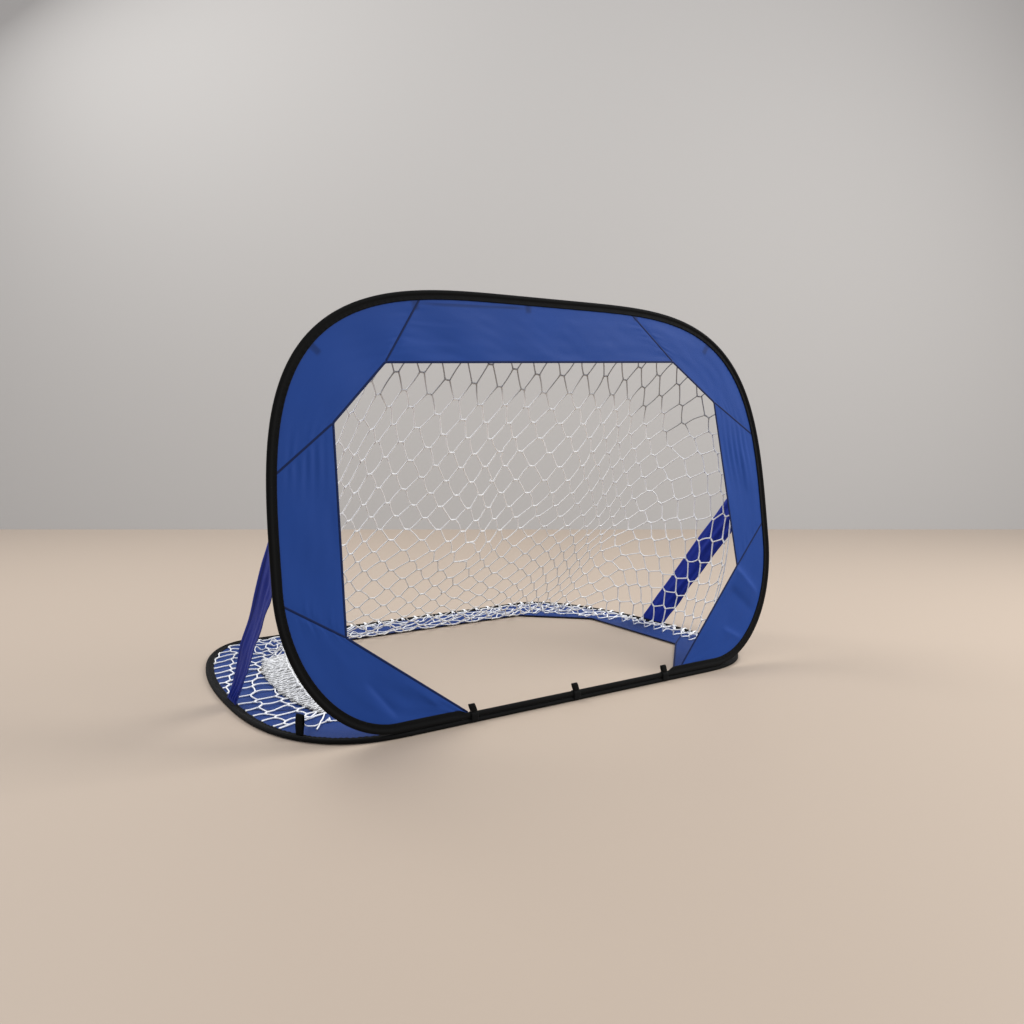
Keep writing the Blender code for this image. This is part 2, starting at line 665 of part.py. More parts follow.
clear_scene()
COLLECTION = bpy.data.collections.new("folding_goal")
bpy.context.scene.collection.children.link(COLLECTION)
CUTTERS = bpy.data.collections.new("cutters")
bpy.context.scene.collection.children.link(CUTTERS)
FINISHES = {name: make_material(name) for name in COLOURS}
FACE = Hoop(
    FACE_HEIGHT, FACE_WAIST - TUBE_WIDE, FACE_FOOT_HALF, FACE_FOOT_POWER,
    FACE_CROWN_HALF, FACE_CROWN_POWER, -TUBE_WIDE / 2,
)
BASE = Hoop(
    BASE_DEPTH, BASE_WAIST, BASE_FRONT_HALF, BASE_FRONT_POWER,
    BASE_REAR_HALF, BASE_REAR_POWER, -BASE_DEPTH / 2,
)


def main():
    """Build the whole goal."""
    face = add_empty("face_pivot", (0.0, HINGE_Y, HINGE_HEIGHT), pi / 2 - FACE_LEAN)
    base = add_empty("base_plane", (0.0, 0.0, BASE_MID), 0.0)
    make_hoop_frame("face", FACE, face)
    make_hoop_frame("base", BASE, base)
    panels = ("top_band", "top_corner", "side_band", "foot_gusset")
    make_surround("face", panels, FACE, MOUTH_CORNERS, MOUTH_SEAMS, face)
    panels = ("rear_band", "rear_corner", "side_band", "front_gusset")
    corners, seams = (dict.fromkeys(("left", "right"), side) for side in (FLOOR_CORNERS, FLOOR_SEAMS))
    make_surround("base", panels, BASE, corners, seams, base)
    for label, across in (("left", -HINGE_TIE_X), ("centre", 0.0), ("right", HINGE_TIE_X)):
        make_hinge_tie("hinge_tie_" + label, across)
    for label, across in TOP_TIES.items():
        make_net_tie("net_tie_" + label, across * HOOP_WIDTH / 2, face)
    for label, side in (("left", -1), ("right", 1)):
        make_net_tie("net_tie_corner_" + label, side * NET_CORNER_HALF, face)
        make_base_tie("net_tie_base_" + label, side, base)
        make_strap("side_strap_" + label, side, *STRAPS[label])
    make_net()
    make_tail()


main()
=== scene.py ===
"""Folding goal: cloth, bindings, straps, ties and net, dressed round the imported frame.

Metres, +Z up, X across the mouth, +Y from the mouth to the back, origin on the floor under the
middle of the base hoop. Every surface is a grid of points worked out with numpy.
"""

import logging
import math
from dataclasses import dataclass, field
from enum import Enum
from typing import Optional, Union

import bpy
import numpy as np
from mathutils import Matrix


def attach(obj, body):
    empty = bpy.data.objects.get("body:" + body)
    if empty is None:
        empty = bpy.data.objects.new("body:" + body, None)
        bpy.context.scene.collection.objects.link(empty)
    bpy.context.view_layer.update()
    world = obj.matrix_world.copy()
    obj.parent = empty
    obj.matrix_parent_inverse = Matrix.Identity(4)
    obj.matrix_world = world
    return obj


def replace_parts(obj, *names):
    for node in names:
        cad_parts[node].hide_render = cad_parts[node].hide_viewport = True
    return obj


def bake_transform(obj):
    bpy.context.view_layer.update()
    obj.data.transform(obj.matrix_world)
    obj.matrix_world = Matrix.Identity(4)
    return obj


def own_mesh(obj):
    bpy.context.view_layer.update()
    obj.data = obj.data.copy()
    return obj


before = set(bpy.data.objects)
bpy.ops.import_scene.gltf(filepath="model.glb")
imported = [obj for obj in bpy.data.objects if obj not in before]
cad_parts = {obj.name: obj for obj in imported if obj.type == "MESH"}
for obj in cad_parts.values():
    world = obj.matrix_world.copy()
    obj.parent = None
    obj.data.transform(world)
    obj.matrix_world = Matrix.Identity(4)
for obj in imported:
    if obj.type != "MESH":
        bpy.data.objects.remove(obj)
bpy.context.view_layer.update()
LOG = logging.getLogger("folding_goal")
Array = np.ndarray
TAU = 2.0 * math.pi

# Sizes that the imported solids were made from
HOOP_WIDTH, STANDING_HEIGHT, BASE_DEPTH = 1.33, 0.90, 0.927
LEAN = math.radians(7.8)
TUBE_WIDE, TUBE_THICK, HEM_WIDE = 0.012, 0.010, 0.020
TUBE_HALF, HEM_FROM = 0.276, 0.300
HINGE_HEIGHT, HINGE_Y = 0.0166246, -0.4575
FACE_HEIGHT = STANDING_HEIGHT - (HINGE_HEIGHT - TUBE_WIDE / 2) / math.cos(LEAN)
BASE_MID = TUBE_THICK / 2
HEM_HALF = 0.0024
CLOTH = 0.0009
TUCK = 0.0068
FRONT_TIE_DEPTH = 0.108
FRONT_TIE_SEAT = 0.0145

# Fineness of the grids
OUTLINE_POINTS, QUARTER_POINTS = 2400, 1500
TAPE_SIDES, RIBBON_SIDES, NET_SIDES = 40, 12, 6
PANEL_COLUMNS, TAB_POINTS = 46, 70

# Heights at which the net lies, is sewn and is anchored, and a share of its height above its anchor
NET_LIES, NET_SEWN, NET_ANCHOR, NET_KEEP = 0.0078, 0.0080, 0.0095, 0.006
UP, ACROSS = np.array([0.0, 0.0, 1.0]), np.array([1.0, 0.0, 0.0])


def unit(vectors: Array) -> Array:
    """Vectors of length one in the same directions."""
    return vectors / np.maximum(np.linalg.norm(vectors, axis=-1, keepdims=True), 1e-12)


def ease(value: Array, low: float = 0.0, high: float = 1.0) -> Array:
    """0 below low, 1 above high, and t * t * (3 - 2 * t) between them."""
    t = np.clip((np.asarray(value, float) - low) / (high - low), 0.0, 1.0)
    return t * t * (3.0 - 2.0 * t)


def bell(value: Array, width: float) -> Array:
    """exp(-(value / width) squared)."""
    return np.exp(-((np.asarray(value, float) / width) ** 2))


def travelled(points: Array) -> Array:
    """Length along a line of points, 0 at the first."""
    step = np.linalg.norm(np.diff(points, axis=0), axis=1)
    return np.concatenate([[0.0], np.cumsum(step)])


def sample(line: Array, knots: Array, places: Union[float, Array]) -> Array:
    """Flat points of a line at some places, where knots holds the place of each of its own."""
    return np.stack([np.interp(places, knots, line[:, i]) for i in (0, 1)], -1)


def facing(points: Array) -> Array:
    """Unit normals of a grid of points."""
    return unit(np.cross(np.gradient(points, axis=0), np.gradient(points, axis=1)))


def ripples(x: Array, y: Array, seed: int, length: float, angle: float, spread: float,
            count: int = 7) -> Array:
    """Sum of seeded sine waves, about 1 high, whose crests lie square to one angle.

    Args:
        x, y: places in the cloth, in metres.
        seed: start of the random draw.
        length: mean distance between crests.
        angle: direction the waves run in, in radians.
        spread: how far the directions differ, in radians.
        count: number of waves.
    """
    draw = np.random.default_rng(seed)
    turn = angle + draw.normal(0.0, spread, count)
    pace = TAU / (length * draw.uniform(0.7, 1.4, count))
    phase = draw.uniform(0.0, TAU, count)
    along = np.asarray(x)[..., None] * np.cos(turn) + np.asarray(y)[..., None] * np.sin(turn)
    return np.sin(along * pace + phase).sum(-1) / math.sqrt(count)


@dataclass
class MeshParts:
    """Vertices, faces and loop UVs gathered from grids, shells and tubes, for one piece."""

    verts: list = field(default_factory=list)
    tones: list = field(default_factory=list)
    quads: list = field(default_factory=list)
    tris: list = field(default_factory=list)
    quad_uv: list = field(default_factory=list)
    tri_uv: list = field(default_factory=list)
    count: int = 0

    def _points(self, points: Array, tone: Union[float, Array]) -> int:
        """Store points with their tone and give the index of the first."""
        first = self.count
        flat = points.reshape(-1, 3)
        self.verts.append(flat)
        self.tones.append(np.broadcast_to(tone, points.shape[:-1]).reshape(-1))
        self.count += len(flat)
        return first

    def grid(self, points: Array, u: Array, v: Array, wrap_u: bool = False,
             wrap_v: bool = False, tone: Union[float, Array] = 1.0) -> int:
        """Add one grid or a batch of them.

        Args:
            points: (rows, columns, 3), or (batch, rows, columns, 3).
            u: texture place of each row, one more than the rows where they close.
            v: the same for the columns.
            wrap_u, wrap_v: whether the rows or columns close on themselves.
            tone: shade of each point, 1 for the plain finish.

        Returns:
            Index of the first vertex.
        """
        rows, cols = points.shape[-3:-1]
        batch = int(np.prod(points.shape[:-3])) if points.ndim > 3 else 1
        first = self._points(points, tone)
        i, j = np.meshgrid(np.arange(rows if wrap_u else rows - 1),
                           np.arange(cols if wrap_v else cols - 1), indexing="ij")
        corner_i = np.stack([i, i + 1, i + 1, i], -1).reshape(-1, 4)
        corner_j = np.stack([j, j, j + 1, j + 1], -1).reshape(-1, 4)
        one = (corner_i % rows) * cols + corner_j % cols
        shift = first + np.arange(batch)[:, None, None] * rows * cols
        self.quads.append((one[None] + shift).reshape(-1, 4))
        wide_u = np.broadcast_to(u, (batch, np.shape(u)[-1]))
        wide_v = np.broadcast_to(v, (batch, np.shape(v)[-1]))
        uv = np.stack([wide_u[:, corner_i], wide_v[:, corner_j]], -1)
        self.quad_uv.append(uv.reshape(-1, 4, 2))
        return first

    def shell(self, middle: Array, normal: Array, thick: Union[float, Array], u: Array,
              v: Array, tone: Union[float, Array] = 1.0) -> None:
        """Closed sheet: front and back grids half a thickness each side of the middle one."""
        rows, cols = middle.shape[:2]
        half = np.broadcast_to(thick, (rows, cols))[..., None] / 2.0
        ring = np.concatenate([middle + normal * half, (middle - normal * half)[:, ::-1]], 1)
        shade = np.broadcast_to(tone, (rows, cols))
        first = self.grid(ring, u, np.concatenate([v, v[::-1], v[:1]]), wrap_v=True,
                          tone=np.concatenate([shade, shade[:, ::-1]], 1))
        j = np.arange(cols - 1)
        for row, turn in ((0, 1), (rows - 1, -1)):
            cap = np.stack([j, j + 1, 2 * cols - 2 - j, 2 * cols - 1 - j], -1) + first
            uv = np.stack([np.full((cols - 1, 4), u[row]), v[np.stack([j, j + 1, j + 1, j], -1)]], -1)
            self.quads.append((cap + row * 2 * cols)[:, ::turn])
            self.quad_uv.append(uv[:, ::turn])

    def tubes(self, paths: Array, radius: Union[float, Array], sides: int,
              tone: Union[float, Array] = 1.0) -> None:
        """Closed round tubes along a batch of paths, with a fan over each end.

        Each ring is centre + radius * (cos a * side + sin a * over), where side is square to
        the path and to the world axis that the path leans on least.
        """
        paths = paths.reshape((-1,) + paths.shape[-2:])
        batch, rows = paths.shape[:2]
        run = unit(np.gradient(paths, axis=1))
        whole = unit(paths[:, -1] - paths[:, 0] + 1e-9)
        axis = np.eye(3)[np.argmin(np.abs(whole), axis=1)][:, None]
        side = unit(np.cross(run, np.broadcast_to(axis, run.shape)))
        over = np.cross(side, run)
        angle = np.arange(sides) / sides * TAU
        turn = (side[:, :, None] * np.cos(angle)[:, None] + over[:, :, None] * np.sin(angle)[:, None])
        wide = np.broadcast_to(radius, (batch, rows))[:, :, None, None]
        rings = paths[:, :, None] + turn * wide
        step = np.linalg.norm(np.diff(paths, axis=1), axis=2)
        length = np.concatenate([np.zeros((batch, 1)), np.cumsum(step, axis=1)], 1)
        around = np.arange(sides + 1) / sides
        shade = np.broadcast_to(tone, (batch, rows))
        first = self.grid(rings, length, around, wrap_v=True,
                          tone=np.repeat(shade[:, :, None], sides, 2))
        ends = np.stack([paths[:, 0], paths[:, -1]], 1)
        middle = self._points(ends, np.stack([shade[:, 0], shade[:, -1]], 1))
        k = np.arange(sides)
        for end, row in ((0, 0), (1, rows - 1)):
            base = first + (np.arange(batch)[:, None] * rows + row) * sides
            a, b = base + k, base + (k + 1) % sides
            centre = np.broadcast_to(middle + np.arange(batch)[:, None] * 2 + end, a.shape)
            fan = np.stack([a, b, centre] if end else [b, a, centre], -1).reshape(-1, 3)
            self.tris.append(fan)
            self.tri_uv.append(np.zeros((len(fan), 3, 2)))

    def build(self, name: str, finish: "Finish") -> bpy.types.Object:
        """Make one object of the parts, faces outward, with a UV map and a tone attribute."""
        verts = np.concatenate(self.verts)
        quads, quad_uv = np.concatenate(self.quads), np.concatenate(self.quad_uv)
        tris = np.concatenate(self.tris) if self.tris else np.zeros((0, 3), int)
        tri_uv = np.concatenate(self.tri_uv) if self.tri_uv else np.zeros((0, 3, 2))
        halves = np.concatenate([tris, quads[:, [0, 1, 2]], quads[:, [0, 2, 3]]])
        a, b, c = (verts[halves[:, k]] - verts.mean(0) for k in range(3))
        if np.einsum("ij,ij->", a, np.cross(b, c)) < 0.0:
            quads, quad_uv, tris, tri_uv = quads[:, ::-1], quad_uv[:, ::-1], tris[:, ::-1], tri_uv[:, ::-1]
        mesh = bpy.data.meshes.new(name)
        mesh.from_pydata(verts.tolist(), [], quads.tolist() + tris.tolist())
        layer = mesh.uv_layers.new(name="UVMap")
        uv = np.concatenate([quad_uv.reshape(-1, 2), tri_uv.reshape(-1, 2)])
        layer.data.foreach_set("uv", uv.astype(np.float32).ravel())
        tone = mesh.attributes.new("tone", "FLOAT", "POINT")
        tone.data.foreach_set("value", np.concatenate(self.tones).astype(np.float32))
        mesh.polygons.foreach_set("use_smooth", np.ones(len(mesh.polygons), bool))
        mesh.update()
        piece = bpy.data.objects.new(name, mesh)
        bpy.context.scene.collection.objects.link(piece)
        mesh.materials.append(finish.material())
        LOG.info("%s: %d vertices", name, len(verts))
        return piece


# Shader maths


class Wire:
    """One output socket. Arithmetic on it adds Math nodes to its tree."""

    def __init__(self, tree: "Recipe", socket: bpy.types.NodeSocket) -> None:
        """Hold a socket and the tree that it belongs to."""
        self.tree, self.socket = tree, socket

    def __add__(self, other: "Value") -> "Wire":
        """Sum."""
        return self.tree.math("ADD", self, other)

    def __sub__(self, other: "Value") -> "Wire":
        """Difference."""
        return self.tree.math("SUBTRACT", self, other)

    def __rsub__(self, other: "Value") -> "Wire":
        """Difference from a number."""
        return self.tree.math("SUBTRACT", other, self)

    def __mul__(self, other: "Value") -> "Wire":
        """Product."""
        return self.tree.math("MULTIPLY", self, other)

    __radd__ = __add__

    def sin(self) -> "Wire":
        """Sine."""
        return self.tree.math("SINE", self)

    def size(self) -> "Wire":
        """Absolute value."""
        return self.tree.math("ABSOLUTE", self)


Value = Union[Wire, float]


class Recipe:
    """Node tree of one material."""

    def __init__(self, name: str) -> None:
        """Start an empty material."""
        self.material = bpy.data.materials.new(name)
        self.material.use_nodes = True
        self.nodes = self.material.node_tree.nodes
        self.links = self.material.node_tree.links
        self.nodes.clear()

    def add(self, kind: str, settings: Optional[dict] = None, inputs: Optional[dict] = None,
            output: Union[int, str] = 0) -> Wire:
        """Add a node and give one of its outputs.

        Args:
            kind: node type without its ShaderNode prefix.
            settings: attributes, set first.
            inputs: value or Wire for each socket, by name or number.
            output: name or number of the wanted output.
        """
        node = self.nodes.new("ShaderNode" + kind)
        for key, value in (settings or {}).items():
            setattr(node, key, value)
        for key, value in (inputs or {}).items():
            if isinstance(value, Wire):
                self.links.new(value.socket, node.inputs[key])
            else:
                node.inputs[key].default_value = value
        return Wire(self, node.outputs[output]) if node.outputs else Wire(self, None)

    def math(self, operation: str, *values: Value) -> Wire:
        """Math node on wires and numbers."""
        return self.add("Math", {"operation": operation}, dict(enumerate(values)))

    def noise(self, place: Wire, scale: float, detail: float = 3.0, rough: float = 0.5) -> Wire:
        """Noise from 0 to 1."""
        return self.add("TexNoise", None, {"Vector": place, "Scale": scale, "Detail": detail,
                                           "Roughness": rough})

    def stretch(self, place: Wire, scale: tuple) -> Wire:
        """Place times a scale on each axis."""
        return self.add("VectorMath", {"operation": "MULTIPLY"}, {0: place, 1: scale})

    def blend(self, factor: Value, low: Union[Wire, tuple], high: Union[Wire, tuple]) -> Wire:
        """Colour between two, by a factor from 0 to 1."""
        low, high = (c if isinstance(c, Wire) else (*c, 1.0) for c in (low, high))
        return self.add("Mix", {"data_type": "RGBA"}, {0: factor, 6: low, 7: high}, 2)

    def between(self, value: Wire, low: float, high: float) -> Wire:
        """0 to 1 as the value goes from low to high, eased at both ends."""
        return self.add("MapRange", {"interpolation_type": "SMOOTHSTEP"},
                        {"Value": value, "From Min": low, "From Max": high})

    def relief(self, height: Wire, distance: float, strength: float = 1.0) -> Wire:
        """Bump of a height from 0 to 1 that stands that many metres proud."""
        return self.add("Bump", None, {"Height": height, "Distance": distance, "Strength": strength})

    def finish(self, **sockets: Union[Wire, float, tuple]) -> bpy.types.Material:
        """Close the tree with a Principled shader. Socket names have _ for their spaces."""
        named = {key.replace("_", " "): value for key, value in sockets.items()}
        shader = self.add("BsdfPrincipled", None, named)
        self.add("OutputMaterial", None, {"Surface": shader})
        return self.material


@dataclass(frozen=True)
class Finish:
    """A finish, made once and shared by its pieces."""

    name: str
    slot: str
    colour: tuple
    deep: tuple
    roughness: float = 0.6
    pitch: float = 0.001

    def material(self) -> bpy.types.Material:
        """The one material of this finish."""
        found = bpy.data.materials.get(self.name)
        return found or self.dye(Recipe(self.name))

    def dye(self, recipe: Recipe) -> bpy.types.Material:
        """Fill the recipe. Each kind of finish has its own."""
        raise NotImplementedError

    @staticmethod
    def threads(recipe: Recipe) -> tuple:
        """UV place with its two parts, place in the object, and tone attribute."""
        uv = recipe.add("UVMap", {"uv_map": "UVMap"})
        u, v = (recipe.add("SeparateXYZ", None, {"Vector": uv}, axis) for axis in (0, 1))
        place = recipe.add("TexCoord", None, None, "Object")
        return uv, u, v, place, recipe.add("Attribute", {"attribute_name": "tone"}, None, "Fac")


@dataclass(frozen=True)
class Taffeta(Finish):
    """Plain-woven nylon: crossing threads of one pitch, soft clouds in its colour, painted shade from its
    tone attribute, a low sheen.
    """

    def dye(self, recipe: Recipe) -> bpy.types.Material:
        """Weave sin(u) * sin(v), slubs along both threads, and painted shade from the tone attribute,
        which blends the colour towards deep.
        """
        uv, u, v, place, tone = self.threads(recipe)
        warp, weft = (u * (TAU / self.pitch)).sin(), (v * (TAU / self.pitch)).sin()
        slub = recipe.noise(recipe.stretch(uv, (30.0, 900.0, 1.0)), 1.0)
        weft_slub = recipe.noise(recipe.stretch(uv, (900.0, 30.0, 1.0)), 1.0)
        cloud = recipe.between(recipe.noise(place, 5.0, 4.0), 0.3, 0.75)
        lit = recipe.blend(cloud * 0.35 + slub * 0.35, self.colour,
                           tuple(c * 1.18 for c in self.colour))
        # Painted shade: the tone attribute darkens the cloth towards its deep colour.
        colour = recipe.blend(tone, self.deep, lit)
        rough = self.roughness + (cloud - 0.5) * 0.10 + (slub - 0.5) * 0.08
        height = warp * weft * 0.5 + slub * 0.8 + weft_slub * 0.8
        return recipe.finish(
            Base_Color=colour, Roughness=rough, Normal=recipe.relief(height, 0.00008, 0.8),
            Sheen_Weight=0.03, Sheen_Roughness=0.4, Specular_IOR_Level=0.12)


@dataclass(frozen=True)
class Grosgrain(Finish):
    """Ribbed black tape: close ribs across it, dusty where it is handled and rests."""

    def dye(self, recipe: Recipe) -> bpy.types.Material:
        """Ribs sin(u), fine weave along v, dust by noise and by the tone attribute."""
        _, u, v, place, tone = self.threads(recipe)
        rib = (u * (TAU / self.pitch)).sin()
        thread = (v * (TAU / (self.pitch * 0.8)) + rib).sin()
        dust = recipe.between(recipe.noise(place, 38.0, 6.0, 0.65), 0.45, 0.85)
        colour = recipe.blend(dust * (1.25 - tone), self.deep, self.colour)
        height = rib * 0.5 + thread * 0.25 + dust * 0.3
        return recipe.finish(
            Base_Color=colour, Roughness=self.roughness + dust * 0.08,
            Normal=recipe.relief(height, 0.00014, 0.8),
            Sheen_Weight=0.02, Sheen_Roughness=0.5, Specular_IOR_Level=0.10)


@dataclass(frozen=True)
class Twine(Finish):
    """Soft laid twine: strands wind round it, with fuzz; it greys where the tone attribute paints shade on
    it.
    """

    def dye(self, recipe: Recipe) -> bpy.types.Material:
        """Lay |sin(u / pitch + v)|, dirt by noise, painted shade in the grooves of the lay, and painted
        shade from the tone attribute.
        """
        _, u, v, place, tone = self.threads(recipe)
        lay = (u * (math.pi / self.pitch) + v * TAU).sin().size()
        dirt = recipe.between(recipe.noise(place, 24.0, 5.0, 0.6), 0.35, 0.8)
        # Darker by dirt noise, and darker in the grooves between the laid strands as painted shade.
        dirt_and_groove_shade = recipe.blend(dirt * 0.18 + (1.0 - lay) * 0.22, self.colour,
                             tuple(c * 0.72 for c in self.colour))
        # Painted shade: the tone attribute greys the twine towards its deep colour.
        return recipe.finish(
            Base_Color=recipe.blend(tone, self.deep, dirt_and_groove_shade), Roughness=self.roughness + dirt * 0.1,
            Normal=recipe.relief(lay, 0.0003, 0.9),
            Sheen_Weight=0.15, Sheen_Roughness=0.6, Specular_IOR_Level=0.3)


@dataclass(frozen=True)
class RolledSteel(Finish):
    """Cold-rolled strip: lengthwise drawing lines and a straw to blue temper tint."""

    def dye(self, recipe: Recipe) -> bpy.types.Material:
        """Long scratches and cloudy tint by stretched noise on object coordinates."""
        place = recipe.add("TexCoord", None, None, "Object")
        lines = recipe.noise(recipe.stretch(place, (12.0, 12.0, 1600.0)), 1.0, 4.0)
        cloud = recipe.noise(place, 14.0, 4.0)
        colour = recipe.blend(recipe.between(cloud, 0.35, 0.65), self.deep, self.colour)
        return recipe.finish(
            Base_Color=colour, Metallic=1.0, Roughness=self.roughness + (lines - 0.5) * 0.25,
            Normal=recipe.relief(lines, 0.00003, 0.6))


# Deep colours: for the nylon, strapping, edging and twine, the colour of full painted shade that the tone
# attribute blends towards; for the tape, webbing and thread, the colour without dust; for the steels, the
# other temper tint.
NYLON = Taffeta("royal_nylon", "panel_cloth", (0.0100, 0.043, 0.205), (0.003, 0.010, 0.045),
                0.58, 0.0009)
EDGING = Taffeta("navy_edging", "panel_cloth", (0.0042, 0.012, 0.056), (0.002, 0.005, 0.022),
                 0.66, 0.0008)
STRAPPING = Taffeta("violet_strapping", "strap_cloth", (0.0070, 0.0210, 0.220), (0.002, 0.006, 0.060),
                    0.62, 0.0012)
TAPE = Grosgrain("black_tape", "binding_cloth", (0.0070, 0.0066, 0.0060), (0.0022, 0.0022, 0.0021),
                 0.80, 0.0011)
WEBBING = Grosgrain("black_webbing", "tie_webbing", (0.0070, 0.0068, 0.0064), (0.0022, 0.0022, 0.0022),
                    0.76, 0.0016)
THREAD = Grosgrain("black_thread", "binding_cloth", (0.016, 0.016, 0.016), (0.007, 0.007, 0.007),
                   0.6, 0.0006)
NET_TWINE = Twine("white_twine", "net_twine", (0.88, 0.88, 0.875), (0.13, 0.125, 0.115),
                  0.7, 0.0042)
SPRING = RolledSteel("spring_strip", "spring_steel", (0.33, 0.30, 0.26), (0.20, 0.22, 0.28), 0.34)
CRIMP = RolledSteel("zinc_crimp", "ferrule_steel", (0.58, 0.59, 0.60), (0.44, 0.45, 0.47), 0.36)


# Hoops


class Side(Enum):
    """Left or right, as the sign of X."""

    LEFT = -1
    RIGHT = 1

    @property
    def label(self) -> str:
        """Word used in node names."""
        return self.name.lower()


@dataclass(frozen=True)
class Outline:
    """Outer edge of one hoop: a flat bottom, then two quarter superellipses a side."""

    height: float
    waist: float
    foot: float
    foot_power: float
    crown: float
    crown_power: float
    low: float

    def half(self, count: int = OUTLINE_POINTS) -> Array:
        """Right half from the bottom centre to the top centre, evenly spaced.

        x = foot + (w - foot) * sin(t) ^ (2 / n), y = waist * (1 - cos(t) ^ (2 / n)) below the
        waist, and the same with cosine and sine swapped above it.
        """
        wide = HOOP_WIDTH / 2
        turn = np.linspace(0.0, math.pi / 2, QUARTER_POINTS)
        low_x = self.foot + (wide - self.foot) * np.sin(turn) ** (2 / self.foot_power)
        low_y = self.waist - self.waist * np.abs(np.cos(turn)) ** (2 / self.foot_power)
        top_x = self.crown + (wide - self.crown) * np.abs(np.cos(turn)) ** (2 / self.crown_power)
        top_y = self.waist + (self.height - self.waist) * np.sin(turn) ** (2 / self.crown_power)
        x = np.concatenate([[0.0], low_x, top_x[1:], [0.0]])
        y = np.concatenate([[0.0], low_y, top_y[1:], [self.height]]) + self.low
        length = np.concatenate([[0.0], np.cumsum(np.hypot(np.diff(x), np.diff(y)))])
        even = np.linspace(0.0, length[-1], count)
        return np.stack([np.interp(even, length, x), np.interp(even, length, y)], -1)

    @staticmethod
    def inward(points: Array) -> Array:
        """Unit normals to the left of a line of points."""
        along = unit(np.gradient(points, axis=0))
        return np.stack([-along[:, 1], along[:, 0]], -1)

    def inset(self, distance: float) -> Array:
        """The half outline moved inward."""
        points = self.half()
        return points + self.inward(points) * distance

    def ring(self, count: int) -> tuple:
        """Whole outline as evenly spaced points and inward normals, anticlockwise."""
        half = self.half(count // 2 + 1)
        inward = self.inward(self.half())
        pick = np.linspace(0, len(inward) - 1, len(half)).round().astype(int)
        inward = inward[pick]
        inward[0], inward[-1] = (0.0, 1.0), (0.0, -1.0)
        flip = np.array([-1.0, 1.0])
        points = np.concatenate([half, half[1:-1][::-1] * flip])
        return points, np.concatenate([inward, inward[1:-1][::-1] * flip])

    def cross(self, start: Array, through: Array, distance: float) -> float:
        """Place along the inset half outline, in points, where a ray from start meets it."""
        line = self.inset(distance)
        ray, gap = through - start, line - start
        side = ray[0] * gap[:, 1] - ray[1] * gap[:, 0]
        ahead = gap @ ray > 0.0
        k = int(np.nonzero((side[:-1] * side[1:] <= 0.0) & ahead[:-1])[0][0])
        return k + side[k] / (side[k] - side[k + 1] + 1e-15)

    def stretch(self, start: float, end: float, distance: float, count: int) -> Array:
        """Even points of the inset half outline between two places along it."""
        line = self.inset(distance)
        return sample(line, np.arange(len(line)), np.linspace(start, end, count))

    def beside(self, height: float, distance: float) -> tuple:
        """Point and inward normal of the right side at a height."""
        line, inward = self.inset(distance), self.inward(self.half())
        keep = (line[:, 1] > self.low + 0.02) & (line[:, 1] < self.low + self.height * 0.93)
        point = np.array([np.interp(height, line[keep, 1], line[keep, 0]), height])
        return point, sample(inward[keep], line[keep, 1], height)

    def above(self, across: float, distance: float) -> tuple:
        """Point and inward normal above the waist, where the inset outline is that far out."""
        line, inward = self.inset(distance), self.inward(self.half())
        upper = line[:, 1] > self.waist + self.low
        order = np.argsort(line[upper, 0])
        x = line[upper, 0][order]
        point = np.array([across, np.interp(abs(across), x, line[upper, 1][order])])
        way = sample(inward[upper][order], x, abs(across))
        return point, way * (math.copysign(1.0, across), 1.0)


@dataclass(frozen=True)
class Hoop:
    """One hoop with its body, its plane and its outline."""

    body: str
    outline: Outline

    def world(self, flat: Array, out: Union[float, Array]) -> Array:
        """Row frame places of points of the hoop's plane, out being forward of it or above it."""
        x, y = flat[..., 0], flat[..., 1]
        if self.body == "base":
            return np.stack([x, y, BASE_MID + out + 0.0 * x], -1)
        sin, cos = math.sin(LEAN), math.cos(LEAN)
        return np.stack([x, HINGE_Y + y * sin - out * cos, HINGE_HEIGHT + y * cos + out * sin], -1)

    @property
    def out(self) -> Array:
        """Unit vector out of the plane."""
        if self.body == "base":
            return UP
        return np.array([0.0, -math.cos(LEAN), math.sin(LEAN)])


FACE = Hoop("face", Outline(FACE_HEIGHT, 0.303, 0.435, 2.0, 0.076, 3.5, -TUBE_WIDE / 2))
BASE = Hoop("base", Outline(BASE_DEPTH, 0.38, 0.395, 2.63, 0.452, 2.14, -BASE_DEPTH / 2))


